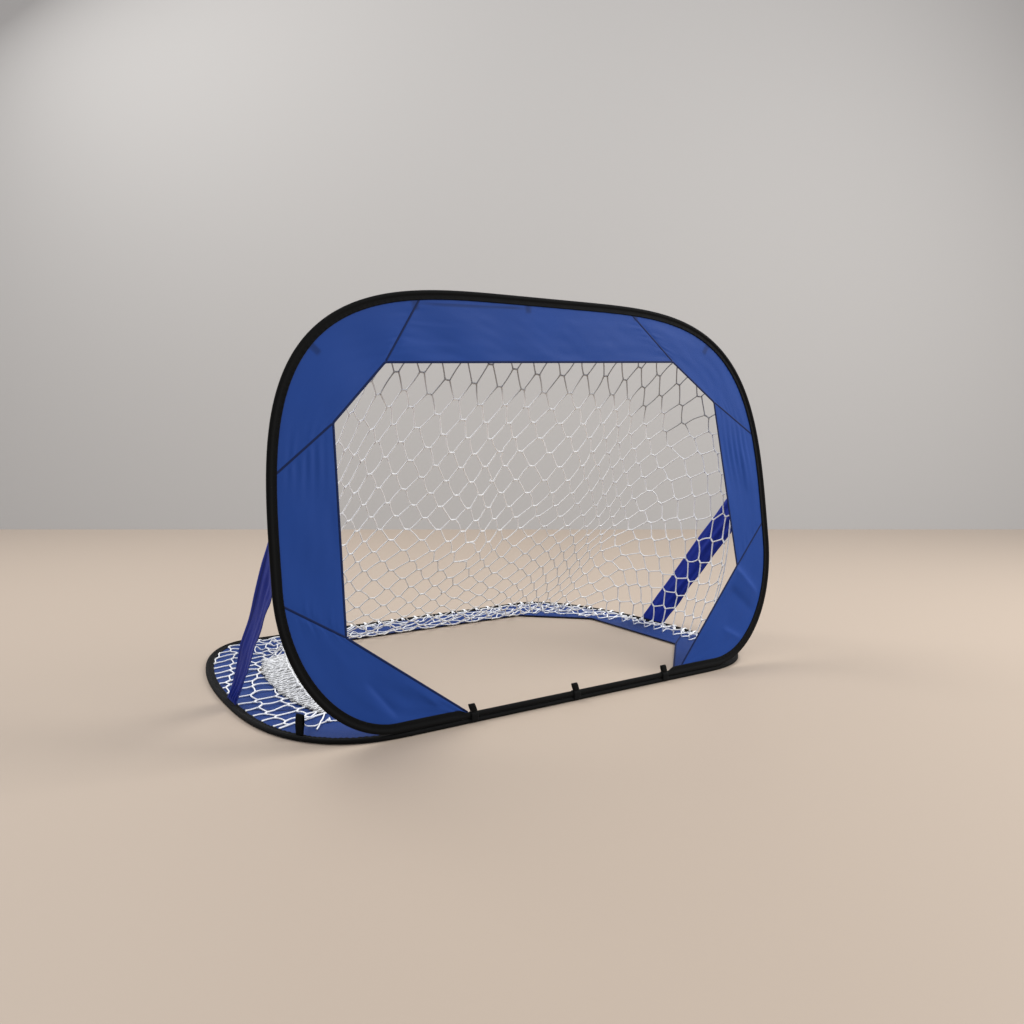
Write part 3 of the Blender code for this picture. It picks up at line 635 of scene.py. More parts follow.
@dataclass
class Binding:
    """Black tape sewn over a hoop's steel, with its hem each side of the cloth."""

    hoop: Hoop
    stations: int = 1100
    stitch_every: float = 0.0042
    stitch_from_edge: float = 0.0030
    stitch_radius: float = 0.00032

    def profile(self, share: Array) -> tuple:
        """Section at each station: distance inward and height of the points round it.

        A hem's half height is the greater of an ellipse about the steel and a flat flap with
        a rolled edge. A tube is an ellipse. share goes from tube to hem.
        """
        turn = np.arange(TAPE_SIDES) / TAPE_SIDES * TAU
        cos, sin = np.cos(turn), np.sin(turn)
        tube_d = TUBE_WIDE / 2 * (1.0 - cos)
        tube_h = TUBE_THICK / 2 * sin
        reach = (1.0 - cos) / 2
        hem_d = HEM_WIDE * reach
        bulge = np.sqrt(np.clip(1.0 - ((hem_d - 0.0052) / 0.0055) ** 2, 0.0, 1.0)) * TUBE_THICK / 2
        roll = HEM_HALF * (1.0 + 0.16 * bell(hem_d - HEM_WIDE + 0.0014, 0.0012))
        flap = roll * np.sqrt(np.clip((HEM_WIDE - hem_d) / 0.0011, 0.0, 1.0))
        hem_h = (bulge ** 6 + flap ** 6) ** (1 / 6) * np.sign(sin) * (np.abs(sin) > 1e-9)
        share = share[:, None]
        return tube_d * (1 - share) + hem_d * share, tube_h * (1 - share) + hem_h * share

    def surface(self) -> tuple:
        """Grid of the tape, its outline points and normals, and how far each is a hem."""
        flat, inward = self.hoop.outline.ring(self.stations)
        share = ease(np.abs(flat[:, 0]), TUBE_HALF, HEM_FROM)
        share[flat[:, 1] > self.hoop.outline.waist + self.hoop.outline.low] = 1.0
        distance, height = self.profile(share)
        length = self.length(flat)
        bend = np.linalg.norm(np.gradient(inward, axis=0), axis=1) / np.gradient(length)[:len(flat)]
        flap = ease(distance, 0.009, 0.018) * share[:, None]
        run = length[:len(flat), None]
        gather = np.sin(run * TAU / 0.013 + 2.0 * np.sin(run * 31.0))
        gather = gather * np.clip(bend, 0.0, 2.5)[:, None]
        swell = np.sin(run * TAU / 0.047 + 1.3 * np.sin(run * 9.0))
        height = height * (1.0 + flap * (0.06 * gather + 0.10 * swell)) + flap * 0.00010 * gather
        place = flat[:, None] + inward[:, None] * distance[..., None]
        return self.hoop.world(place, height), flat, inward, share

    @staticmethod
    def length(flat: Array) -> Array:
        """Length along a closed line of points, one more than the points."""
        return travelled(np.concatenate([flat, flat[:1]]))

    def build(self) -> None:
        """Make the tape and the two rows of stitches near its inner edges."""
        points, flat, inward, share = self.surface()
        parts = MeshParts()
        around = np.linspace(0.0, 0.048, points.shape[1] + 1)
        low = ease(points[..., 2], 0.0, 0.010) if self.hoop.body == "base" else 1.0
        parts.grid(points, self.length(flat), around, True, True, tone=0.35 + 0.65 * low)
        tape = parts.build(f"{self.hoop.body}_binding_tape", TAPE)
        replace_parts(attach(tape, self.hoop.body), f"{self.hoop.body}_binding")
        self.stitches(flat, inward, share)

    def stitches(self, flat: Array, inward: Array, share: Array) -> None:
        """Short sunk threads, one row on each face of the hem."""
        length = self.length(flat)
        count = int(length[-1] / self.stitch_every)
        spots = (np.arange(count)[:, None] + np.array([0.12, 0.3, 0.5, 0.7, 0.88])) * self.stitch_every
        at, way = (sample(np.concatenate([line, line[:1]]), length, spots) for line in (flat, inward))
        hem = np.interp(spots[:, 2], length, np.concatenate([share, share[:1]])) > 0.98
        at, way = at[hem], unit(way[hem])
        inner = at + way * (HEM_WIDE - self.stitch_from_edge)
        rise = np.array([-0.00025, 0.00012, 0.0002, 0.00012, -0.00025])
        parts = MeshParts()
        for face in (1.0, -1.0):
            parts.tubes(self.hoop.world(inner, face * (HEM_HALF + rise)), self.stitch_radius, 5)
        row = parts.build(f"{self.hoop.body}_binding_stitches", THREAD)
        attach(row, self.hoop.body)


@dataclass(frozen=True)
class Crease:
    """One fold line in a panel: it runs from start to end and stands height proud."""

    start: tuple
    end: tuple
    width: float
    height: float

    def rise(self, flat: Array) -> Array:
        """height * ridge across the line, faded towards both ends."""
        start, along = np.array(self.start), np.array(self.end) - np.array(self.start)
        long = np.linalg.norm(along)
        gap = flat - start
        t = gap @ along / long ** 2
        off = (gap[..., 0] * along[1] - gap[..., 1] * along[0]) / long
        fade = ease(t, -0.05, 0.25) * (1.0 - ease(t, 0.65, 1.05))
        ridge = 1.0 / (1.0 + (off / self.width) ** 2)
        shoulder = np.tanh(off / self.width) * 0.6
        return self.height * fade * (ridge + shoulder * bell(off, self.width * 6.0))


@dataclass(frozen=True)
class Quarter:
    """One side of an opening: its corners from the top to the foot, and where its seams end.

    Corners are distance out and along the hoop. crown_share, upper_drop and lower_rise place
    the outer ends of the three seams from the corners that they start at.
    """

    top: tuple
    shoulder: tuple
    elbow: tuple
    foot: tuple
    crown_share: float = 0.75
    upper_drop: float = 0.095
    lower_rise: float = 0.090

    def seams(self, outline: Outline) -> dict:
        """Each seam's corner, and the place where it meets the tucked outline."""
        crown, _ = outline.above(self.top[0] * self.crown_share, HEM_WIDE)
        upper, _ = outline.beside(self.shoulder[1] - self.upper_drop, HEM_WIDE)
        lower, _ = outline.beside(self.elbow[1] + self.lower_rise, HEM_WIDE)
        ends = {"crown": (self.top, crown), "upper": (self.shoulder, upper), "lower": (self.elbow, lower)}
        return {key: (np.array(a), outline.cross(np.array(a), b, TUCK)) for key, (a, b) in ends.items()}


@dataclass
class Surround:
    """Seven cloth panels round one opening, with seams, edging and folds.

    gathers are (centre, reach, wave, height) of pleats. patches are (centre, way, half length,
    half width) of the ties whose shadows show through the cloth. tip is how far out the foot
    panels begin.
    """

    hoop: Hoop
    names: tuple
    sides: dict
    seed: int
    creases: tuple = ()
    patches: tuple = ()
    billow: float = 0.0011
    gathers: tuple = ()
    tip: float = 0.268
    # Painted shade: the tone of the whole surround, below 1 to darken its cloth.
    shade: float = 1.0
    seam_size: tuple = (0.0048, 0.0020)
    edging_size: tuple = (0.0050, 0.0021)

    def relief(self, flat: Array, inner: Array, ends: tuple) -> Array:
        """How far the cloth stands out of its plane.

        Slow billows and fine lengthwise waves, puckers at the two seams, pleats round chosen
        places and single creases, all faded to nothing at the binding.

        Args:
            flat: places in the hoop's plane.
            inner: 0 at the binding and 1 at the opening.
            ends: distance of each point from the two seams.
        """
        x, y = flat[..., 0], flat[..., 1]
        tied = ease(np.minimum(*ends), 0.001, 0.016)
        free = ease(inner, 0.08, 0.40) * (1.0 - ease(inner, 0.86, 1.0)) * tied
        around = np.arctan2(y - 0.45, x)
        rise = self.billow * free * ripples(x, y, self.seed, 0.16, 0.6, 0.8)
        fine = ripples(around * 0.5, inner * 0.12, self.seed + 1, 0.035, 1.4, 0.25)
        rise = rise + 0.00018 * free * fine
        seam = bell(ends[0], 0.030) + bell(ends[1], 0.030)
        puckers = ripples(inner * 0.13, around * 0.2, self.seed + 2, 0.017, 0.0, 0.2)
        rise = rise + 0.0004 * seam * free * puckers
        for centre, reach, wave, height in self.gathers:
            near = bell(np.linalg.norm(flat - np.array(centre), axis=-1), reach)
            pleats = np.sin(inner * 0.13 * TAU / wave + 1.5 * np.sin(y * 20.0))
            rise = rise + height * near * free * pleats
        for crease in self.creases:
            held = ease(inner, 0.03, 0.2)
            rise = rise + crease.rise(flat) * held * tied * (1.0 - ease(inner, 0.72, 0.96))
        return rise

    def tone(self, flat: Array, inner: Array) -> Array:
        """Painted shade of the cloth: all of it scaled by its shade share, and a painted shadow where a
        webbing tie or the net's border behind it shows through.
        """
        shade = np.full(inner.shape, self.shade)
        for centre, way, reach, wide in self.patches:
            gap = flat - np.array(centre)
            way = unit(np.array(way))
            long = gap @ way
            side = gap[..., 0] * way[1] - gap[..., 1] * way[0]
            spot = 1.0 - ease(np.abs(long), reach * 0.6, reach)
            spot = spot * (1.0 - ease(np.abs(side), wide * 0.4, wide))
            # Painted shadow of a tie or of the net's border behind the cloth.
            shade = shade - 0.5 * spot
        return np.clip(shade, 0.0, 1.0)

    def panel(self, label: str, outer: Array, inner: Array, mirror: int) -> None:
        """One panel between its strip of binding and its edge of the opening.

        A point is outer * (1 - t) + inner * t, then lifted by the relief.
        """
        rows, cols = len(outer), PANEL_COLUMNS
        t = np.linspace(0.0, 1.0, cols)[None, :, None]
        flat = (outer[:, None] * (1.0 - t) + inner[:, None] * t) * np.array([mirror, 1.0])
        depth = np.broadcast_to(t[..., 0], (rows, cols))
        ends = tuple(np.linalg.norm(flat - flat[k][None], axis=-1) for k in (0, -1))
        rise = self.relief(flat, depth, ends)
        points = self.hoop.world(flat, rise)
        normal = facing(points)
        normal = normal * np.sign((normal @ self.hoop.out).mean())
        parts = MeshParts()
        along = travelled((outer + inner) / 2)
        wide = np.linspace(0.0, np.linalg.norm(outer - inner, axis=1).mean(), cols)
        parts.shell(points, normal, CLOTH, along, wide, tone=self.tone(flat, depth))
        node = f"{self.hoop.body}_{label}"
        piece = parts.build(f"{node}_cloth", NYLON)
        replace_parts(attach(piece, self.hoop.body), node)

    @staticmethod
    def tight_box(edge: Array) -> tuple:
        """Width and length of the smallest rectangle round an outline, tried at each degree."""
        angle = np.radians(np.arange(0, 90))
        x = np.outer(edge[:, 0], np.cos(angle)) + np.outer(edge[:, 1], np.sin(angle))
        y = np.outer(edge[:, 1], np.cos(angle)) - np.outer(edge[:, 0], np.sin(angle))
        wide, long = np.ptp(x, axis=0), np.ptp(y, axis=0)
        best = int(np.argmin(wide * long))
        return float(wide[best]), float(long[best])

    def build(self) -> None:
        """Make the seven panels, their six seams and the edging of the opening."""
        outline = self.hoop.outline
        line = outline.inset(TUCK)
        across = np.array([-1.0, 1.0])
        halves, tops = {}, {}
        for side, quarter in self.sides.items():
            seams = quarter.seams(outline)
            crown, upper, lower = (seams[key][1] for key in ("crown", "upper", "lower"))
            top, shoulder, elbow, foot = (
                np.array(c) for c in (quarter.top, quarter.shoulder, quarter.elbow, quarter.foot))
            halves[side] = outline.stretch(crown, len(line) - 1.0, TUCK, 70)
            tops[side] = top
            last = float(np.argmax(line[:, 0] > self.tip))
            toe = np.array([self.tip, line[int(last), 1] + 0.0006])
            plan = ((self.names[1], upper, crown, (shoulder, top), 110),
                    (self.names[2], lower, upper, (elbow, shoulder), 90),
                    (self.names[3], last, lower, (toe, foot, elbow), 150))
            for name, start, end, bends, rows in plan:
                outer = outline.stretch(start, end, TUCK, rows)
                self.panel(f"{name}_{side.label}", outer, self.evenly(np.array(bends), rows), side.value)
        whole = np.concatenate([halves[Side.RIGHT], halves[Side.LEFT][:-1][::-1] * across])
        edge = np.linspace(tops[Side.RIGHT], tops[Side.LEFT] * across, len(whole))
        self.panel(self.names[0], whole, edge, 1)
        self.trim()

    def ribbon(self, parts: MeshParts, path: Array, wide: float, thick: float) -> None:
        """Flat rounded tape along a line in the hoop's plane.

        Section: a superellipse, wide in the plane and thick out of it.
        """
        sides = RIBBON_SIDES
        turn = np.arange(sides) / sides * TAU
        across = np.sign(np.cos(turn)) * np.abs(np.cos(turn)) ** 0.6 * wide / 2
        high = np.sign(np.sin(turn)) * np.abs(np.sin(turn)) ** 0.8 * thick / 2
        run = unit(np.gradient(path, axis=0))
        left = np.stack([-run[:, 1], run[:, 0]], -1)
        taper = np.sin(np.linspace(0.0, math.pi, len(path))) ** 0.02
        flat = path[:, None] + left[:, None] * across[None, :, None] * taper[:, None, None]
        points = self.hoop.world(flat, np.broadcast_to(high, flat.shape[:2]) * taper[:, None])
        parts.grid(points, travelled(path), np.linspace(0.0, wide * 2.2, sides + 1), wrap_v=True)

    def trim(self) -> None:
        """Navy edging round the opening and a felled seam at each corner."""
        runs, seams, edging = [], MeshParts(), MeshParts()
        line = self.hoop.outline.inset(TUCK)
        for side, quarter in self.sides.items():
            flip = np.array([side.value, 1.0])
            corners = np.array([quarter.foot, quarter.elbow, quarter.shoulder, quarter.top])
            corners[0] += (corners[0] - corners[1]) * 0.03
            runs.append(corners * flip)
            for corner, place in quarter.seams(self.hoop.outline).values():
                end = sample(line, np.arange(len(line)), place)
                self.ribbon(seams, np.linspace(corner * flip, end * flip, 40), *self.seam_size)
        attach(seams.build(f"{self.hoop.body}_seams", EDGING), self.hoop.body)
        whole = self.soften(np.concatenate([runs[1], runs[0][::-1]]), 0.004)
        self.ribbon(edging, whole, *self.edging_size)
        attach(edging.build(f"{self.hoop.body}_opening_edging", EDGING), self.hoop.body)

    @staticmethod
    def evenly(bends: Array, count: int) -> Array:
        """Even points along a line with bends."""
        length = travelled(bends)
        return sample(bends, length, np.linspace(0.0, length[-1], count))

    @staticmethod
    def soften(corners: Array, radius: float) -> Array:
        """Line through corners, each rounded by a short quadratic curve."""
        pieces = [corners[:1]]
        for a, b, c in zip(corners[:-2], corners[1:-1], corners[2:]):
            start = b + unit(a - b) * radius
            end = b + unit(c - b) * radius
            t = np.linspace(0.0, 1.0, 7)[:, None]
            pieces.append(start * (1 - t) ** 2 + 2 * b * t * (1 - t) + end * t ** 2)
        pieces.append(corners[-1:])
        rough = np.concatenate(pieces)
        length = travelled(rough)
        return sample(rough, length, np.unique(np.concatenate([length, np.arange(0.0, length[-1], 0.02)])))


# Net


@dataclass
class Net:
    """Knotless net cut to a six-sided pattern and hung from the mouth hoop to the base.

    The net is a lattice of short bars, where two twines cross, joined by one long strand up
    and one down to the right. climb and fall are the two steps from bar to bar. long is the
    pattern's length down its middle, and fan_out and fan_down place its side corners. lies_*
    is how far in from the sewn border it comes down, left then right, and to_side and to_rear
    are the shares of the border where one goes over to the next. pool is how far the slack
    left side lies inward of that.
    """

    climb: tuple = (0.0300, -0.0385)
    fall: tuple = (0.0365, 0.0425)
    cells: int = 50
    bar: tuple = (0.0115, 0.0012)
    twine: float = 0.0033
    bar_thick: float = 0.0044
    bow: float = 0.028
    corner_half: float = 0.520
    long: float = 1.33
    fan_out: float = 0.470
    fan_down: float = 0.640
    inset: float = 0.045
    sag: float = 0.17
    side_share: float = 0.51
    edge_inset: float = 0.0192
    sewn_from: float = 0.160
    lies_front: tuple = (0.125, 0.050)
    lies_side: tuple = (0.113, 0.055)
    lies_rear: float = 0.138
    to_side: tuple = (0.0, 0.14)
    to_rear: tuple = (0.20, 0.60)
    round_reach: tuple = (0.11, 0.28)
    round_from: tuple = (0.3, -1.0)
    pool: float = 0.155
    pool_way: tuple = (-0.35, 1.0)
    bow_out: tuple = (0.120, -0.045, 0.0)
    hang_slack: float = 1.03
    slack: float = 1.9
    run: float = 1.36
    border_radius: float = 0.0019
    lacing_radius: float = 0.0016
    lashing_radius: float = 0.0017
    lash_pitch: float = 0.0340
    lash_from: tuple = ((Side.LEFT, 0.745), (Side.RIGHT, 0.10))
    seed: int = 5

    def corners(self) -> Array:
        """The six corners of the flat pattern, x across and y down from its top edge."""
        half, out = self.corner_half, self.corner_half + self.fan_out
        return np.array([(-half, 0.0), (half, 0.0), (out, self.fan_down),
                         (half, self.long), (-half, self.long), (-out, self.fan_down)])

    def lattice(self, corners: Array) -> tuple:
        """Bars and long strands of flat net as pairs of ends, cut to a convex outline.

        A bar's middle is i * climb + j * fall. Its right end is joined to the left end of the
        next bar along each step. A slow wave moves the places by a few millimetres.
        """
        steps = np.arange(-self.cells, self.cells + 1)
        i, j = (a.ravel() for a in np.meshgrid(steps, steps, indexing="ij"))
        climb, fall, bar = (np.array(step) for step in (self.climb, self.fall, self.bar))
        middle = np.outer(i, climb) + np.outer(j, fall) + (0.011, 0.017)
        wave = np.stack([ripples(middle[:, 0], middle[:, 1], self.seed + k, 0.33, 0.5 + k, 1.0)
                         for k in (10, 11)], -1)
        loose = np.random.default_rng(self.seed).normal(0.0, 0.0016, middle.shape)
        middle = middle + (wave * 0.007 + loose)
        order = {(a, b): k for k, (a, b) in enumerate(zip(i.tolist(), j.tolist()))}
        right = middle + bar / 2
        left = middle - bar / 2
        strands = []
        for step in ((1, 0), (0, 1)):
            next_one = np.array([order.get((a + step[0], b + step[1]), -1) for a, b in order])
            keep = next_one >= 0
            strands.append(np.stack([right[keep], left[next_one[keep]]], 1))
        bars = np.stack([left, right], 1)
        return self.cut(bars, corners), self.cut(np.concatenate(strands), corners)

    @staticmethod
    def cut(ends: Array, corners: Array) -> Array:
        """Strands cut off at the edges of an outline, short leftovers dropped."""
        low, high = np.zeros(len(ends)), np.ones(len(ends))
        for start, end in zip(corners, np.roll(corners, -1, axis=0)):
            along = end - start
            at = (ends - start) @ np.array([along[1], -along[0]])
            change = at[:, 1] - at[:, 0]
            t = -at[:, 0] / np.where(np.abs(change) < 1e-12, 1e-12, change)
            low = np.where(change < 0.0, np.maximum(low, t), low)
            high = np.where(change > 0.0, np.minimum(high, t), high)
            high = np.where((at > 0.0).all(1), -1.0, high)
        keep = high - low > 0.15
        ends, low, high = ends[keep], low[keep, None], high[keep, None]
        way = ends[:, 1] - ends[:, 0]
        return np.stack([ends[:, 0] + way * low, ends[:, 0] + way * high], 1)

    def border(self, share: Array, left: Array) -> tuple:
        """Border of the net on the base, where it comes down, and the way inward.

        Args:
            share: 0 at its front end to 1 at the rear centre, for the right half.
            left: whether each point belongs to the left half, which lies further in.
        """
        outline = BASE.outline
        line, inward = outline.inset(0.0), outline.inward(outline.half())
        first = int(np.argmax(line[:, 1] > self.sewn_from - BASE_DEPTH / 2))
        line, inward = line[first:], inward[first:]
        length = np.linspace(0.0, 1.0, len(line))
        sewn = line + inward * self.edge_inset
        side, rear = ease(length, *self.to_side), ease(length, *self.to_rear)

        landing = []
        for at_front, at_side, from_share in zip(self.lies_front, self.lies_side, self.round_from):
            lies = (at_front * (1 - side) + at_side * side) * (1 - rear) + self.lies_rear * rear
            lands = sewn + inward * lies[:, None]
            tight, wide = (self.rounded(lands, reach) for reach in self.round_reach)
            mixed = tight + (wide - tight) * ease(length, from_share, from_share + 0.3)[:, None]
            landing.append(sample(mixed, length, share))
        return (sample(sewn, length, share), np.where(left[:, None], *landing),
                unit(sample(inward, length, share)))

    @staticmethod
    def rounded(line: Array, reach: float) -> Array:
        """Landing line of the right half with its corner eased by a moving average.

        Before its start it runs on straight, and past the rear centre it is mirrored.
        """
        more = int(len(line) * reach)
        before = 2.0 * line[0] - line[more:0:-1]
        after = line[-2:-more - 2:-1] * (-1.0, 1.0)
        whole = np.concatenate([before, line, after])
        weight = np.hanning(2 * more + 3)[1:-1]
        weight = weight / weight.sum()
        return np.stack([np.convolve(whole[:, i], weight, "valid") for i in (0, 1)], -1)

    def rulings(self, flat: Array) -> dict:
        """For each point of the pattern, the line that it hangs on and how far down it."""
        out, down = np.abs(flat[:, 0]), flat[:, 1]
        rear = out <= self.corner_half
        x = np.maximum(out - self.corner_half, 1e-9)
        slope = (self.long - self.fan_down) / self.fan_out
        reach = self.long / np.maximum(down + slope * x, 1e-6)
        fan = np.where(rear, 0.0, np.clip(reach * x / self.fan_out, 0.0, 1.0))
        across = np.where(rear, out, self.corner_half)
        left = flat[:, 0] < 0.0
        share = np.where(rear, 1.0 - (1.0 - self.side_share) * out / self.corner_half,
                         self.side_share * (1.0 - fan) ** np.where(left, 1.0, 1.12))
        border, landing, way = self.border(share, left)
        line = FACE.outline.inset(self.inset)
        upper = line[:, 1] > FACE.outline.waist
        order = np.argsort(line[upper, 0])
        top = np.stack([across, np.interp(across, line[upper, 0][order], line[upper, 1][order])], -1)
        top[:, 1] -= 0.005 * (1.0 - np.cos(across / 0.285 * TAU)) * rear
        high = FACE.world(top, -0.0037)
        t = np.where(rear, down / self.long, 1.0 / reach)
        sag = self.sag * (1.0 - fan ** 2) ** 2 * (1.0 - 0.5 * (across / self.corner_half) ** 2)
        return {"high": high, "border": border, "landing": landing, "way": way, "t": t, "sag": sag,
                "side": np.where(left, -1.0, 1.0), "fan": fan, "drape": left * ease(out, 0.34, 0.62)}

    def hang(self, flat: Array) -> Array:
        """Where points of the flat pattern hang.

        Each line of the net falls from the top border on a quadratic curve to the point
        where it lands, and then lies on the cloth out to the binding, in low waves. The right
        side bows out and forward. The left side is slack, and lies inward on the floor first.
        """
        r = self.rulings(flat)
        landing = np.column_stack([r["landing"], np.full(len(flat), NET_LIES)])
        border = np.column_stack([r["border"], np.full(len(flat), NET_SEWN)])
        hanging = np.linalg.norm(r["high"] - landing, axis=1) * self.hang_slack
        lying = np.linalg.norm(border - landing, axis=1)
        spare = (self.slack - 1.0) * (1.0 - ease(r["fan"], 0.0, 0.3))
        turn = hanging / (hanging + lying * (1.0 + spare))
        t = np.clip(r["t"] / turn, 0.0, 1.0)[:, None]
        middle = (r["high"] + landing) / 2
        middle[:, 2] -= r["sag"]
        middle += np.outer(r["fan"] ** 2, self.bow_out)
        turned = ease(r["fan"], 0.55, 1.0)[:, None]
        toward = unit(r["way"] * (1.0 - turned) + np.array(self.pool_way) * turned)
        spread = landing + np.column_stack([toward * self.pool, np.zeros(len(flat))])
        middle += (spread - middle) * r["drape"][:, None]
        hung = r["high"] * (1 - t) ** 2 + 2 * middle * t * (1 - t) + landing * t ** 2
        s = np.clip((r["t"] - turn) / np.maximum(1 - turn, 1e-6), 0.0, 1.0)[:, None]
        lain = landing + (border - landing) * s
        slack = np.sin(math.pi * s[:, 0])
        x, y = flat[:, 0], flat[:, 1]
        loose = 1.0 - 0.65 * r["drape"]
        hump = np.clip(0.3 + ripples(x, y, self.seed, 0.07, 0.3, 1.4), 0.0, 1.6)
        lain[:, 2] += slack * loose * 0.008 * hump
        stray = [ripples(x, y, self.seed + 1 + k, 0.09, float(k), 1.5) for k in (0, 1)]
        lain[:, :2] += (slack * loose)[:, None] * 0.006 * np.stack(stray, -1)
        lift = np.sin(math.pi * t[:, 0]) * (1.0 - 0.8 * r["fan"])
        hung[:, 1] += 0.012 * lift * ripples(x, y, self.seed + 3, 0.36, 0.9, 0.9)
        hung[:, 0] += 0.006 * lift * ripples(x, y, self.seed + 4, 0.30, 0.3, 0.9)
        hung[:, 2] = np.maximum(hung[:, 2], NET_LIES)
        place = np.where((r["t"] <= turn)[:, None], hung, lain)
        return place * np.column_stack([r["side"], np.ones(len(flat)), np.ones(len(flat))])

    def tone(self, points: Array) -> Array:
        """Whiteness of the twine, as painted shade: greyer under the top band and towards its right
        corner, low down at the back, less so at the sides, and where it lies on the rear band.
        """
        x, z = points[..., 0], points[..., 2]
        grain = ripples(x, points[..., 1] + z, self.seed + 7, 0.12, 0.7, 1.2)
        corner = 0.10 * ease(x, 0.30, 0.48)
        high = ease(z + 0.022 * grain + corner, 0.66, 0.73)
        low = (1.0 - ease(z + 0.02 * grain, 0.22, 0.33)) * ease(z, 0.015, 0.04)
        middle = 1.0 - 0.5 * ease(np.abs(x), 0.40, 0.50)
        strip = (1.0 - ease(z, 0.02, 0.04)) * ease(points[..., 1], 0.15, 0.30)
        # Painted shade: each region greys the twine towards its deep colour.
        return np.clip(1.0 - 0.66 * high - 0.27 * low * middle - 0.24 * strip, 0.0, 1.0)

    def strands(self, ends: Array, steps: Array, bow: float) -> Array:
        """Places along each strand of the flat net, slightly bowed.

        Args:
            ends: pairs of ends in the pattern.
            steps: shares of the way along.
            bow: spread of the bows, as a share of each strand's length.
        """
        way = ends[:, 1] - ends[:, 0]
        side = unit(np.stack([-way[:, 1], way[:, 0]], -1))
        draw = np.random.default_rng(self.seed + 20).normal(0.0, bow, len(ends))
        wide = draw * np.linalg.norm(way, axis=1)
        flat = ends[:, None, 0] + way[:, None] * steps[None, :, None]
        return flat + side[:, None] * (np.sin(math.pi * steps) * wide[:, None])[..., None]

    def build(self) -> None:
        """Make the bars and strands in three pieces, the border cords and the lashing."""
        bars, strands = self.lattice(self.corners())
        kinds = ((strands, np.array([0.0, 0.12, 0.32, 0.55, 0.78, 1.0]), self.bow, self.twine),
                 (bars, np.array([0.0, 0.5, 1.0]), 0.0, self.bar_thick))
        half = self.corner_half
        for label, low, high in (("left", -np.inf, -half), ("rear", -half, half), ("right", half, np.inf)):
            parts = MeshParts()
            for ends, steps, bow, wide in kinds:
                middle = ends[:, :, 0].mean(1)
                flat = self.strands(ends[(middle >= low) & (middle < high)], steps, bow)
                points = self.hang(flat.reshape(-1, 2)).reshape(*flat.shape[:2], 3)
                swell = 1.0 + 0.25 * (bell(steps, 0.10) + bell(1.0 - steps, 0.10)) * (bow > 0.0)
                parts.tubes(points, wide / 2 * swell, NET_SIDES, tone=self.tone(points))
            self.finish(parts.build(f"net_{label}_mesh", NET_TWINE), "net")
        self.gathered()
        self.edges()

    def gathered(self) -> None:
        """Slack net of the left side, drawn together in fine folds inward of where it lands.

        Crossing sets of strands run inward from the landing line, two close and greyed by painted shade,
        two open and white, each lighter on its pleat crests and darker between them as painted shade.
        Each strand's place along that line is x + lean * y plus a slow wave, and its height is a soft
        pleated dome.
        """
        y = np.linspace(0.0, 1.0, 10)[None]
        parts = MeshParts()
        for layer, (lean, pitch, wide, tone) in enumerate((
                (-0.050, 0.0023, 0.0008, 0.30), (0.035, 0.0023, 0.0008, 0.30),
                (0.075, 0.0130, 0.0012, 0.85), (-0.080, 0.0170, 0.0012, 0.85))):
            x = np.arange(0.004, 0.60, pitch)[:, None]
            grain = ripples(x + 0.0 * y, y * 0.12, 70 + layer, 0.024, 0.5, 0.7)
            along = np.clip((x + lean * y + 0.005 * grain * y) / self.run, 0.0, 0.6)
            _, landing, way = self.border(along.ravel(), np.ones(along.size, bool))
            fade = ease(x, 0.0, 0.07) * (1.0 - ease(x, 0.50, 0.60))
            reach = -0.010 + (0.044 + 0.115 * fade) * y + 0.004 * grain
            pleat = np.abs(np.sin(math.pi * x / 0.047 + 0.8 * layer + 1.4 * np.sin(x * 27.0) + y * 1.2))
            rise = 0.0075 + 0.002 * layer + (0.006 * pleat + 0.024 * y ** 1.7) * fade * ease(y, 0.0, 0.3)
            place = (landing + way * reach.reshape(-1, 1)).reshape(*along.shape, 2)
            points = np.concatenate([place, rise[..., None]], -1) * (-1.0, 1.0, 1.0)
            # Painted shade: the close layers grey, and every layer lighter on its pleat crests.
            parts.tubes(points, wide, 4, tone=tone + 0.15 * pleat)
        self.finish(parts.build("net_left_gathers", NET_TWINE))

    @staticmethod
    def finish(piece: bpy.types.Object, *nodes: str) -> None:
        """Let a part of the net ride on the base, with a mesh of its own, in place of the given nodes."""
        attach(piece, "base")
        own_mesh(piece)
        if nodes:
            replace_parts(piece, *nodes)

    def edges(self) -> None:
        """Border cord along the top and both free sides, its loose end, and the lashing."""
        corner = self.corners()
        parts = MeshParts()
        for start, end in ((0, 1), (1, 2), (0, 5)):
            points = self.hang(np.linspace(corner[start], corner[end], 140))
            parts.tubes(points[None], self.border_radius, 7, tone=self.tone(points)[None])
        loose = Webbing.curve([
            (-0.5925, -0.3520, 0.0390), (-0.5750, -0.3240, 0.0300), (-0.5500, -0.2850, 0.0150),
            (-0.5260, -0.2500, 0.0090), (-0.5090, -0.2360, 0.0088), (-0.5120, -0.2620, 0.0088),
            (-0.5280, -0.2950, 0.0100), (-0.5385, -0.3126, 0.0120), (-0.5490, -0.3290, 0.0090),
            (-0.5600, -0.3456, 0.0086)], 90)
        parts.tubes(loose[None], self.lacing_radius, 7)
        self.finish(parts.build("net_border", NET_TWINE))

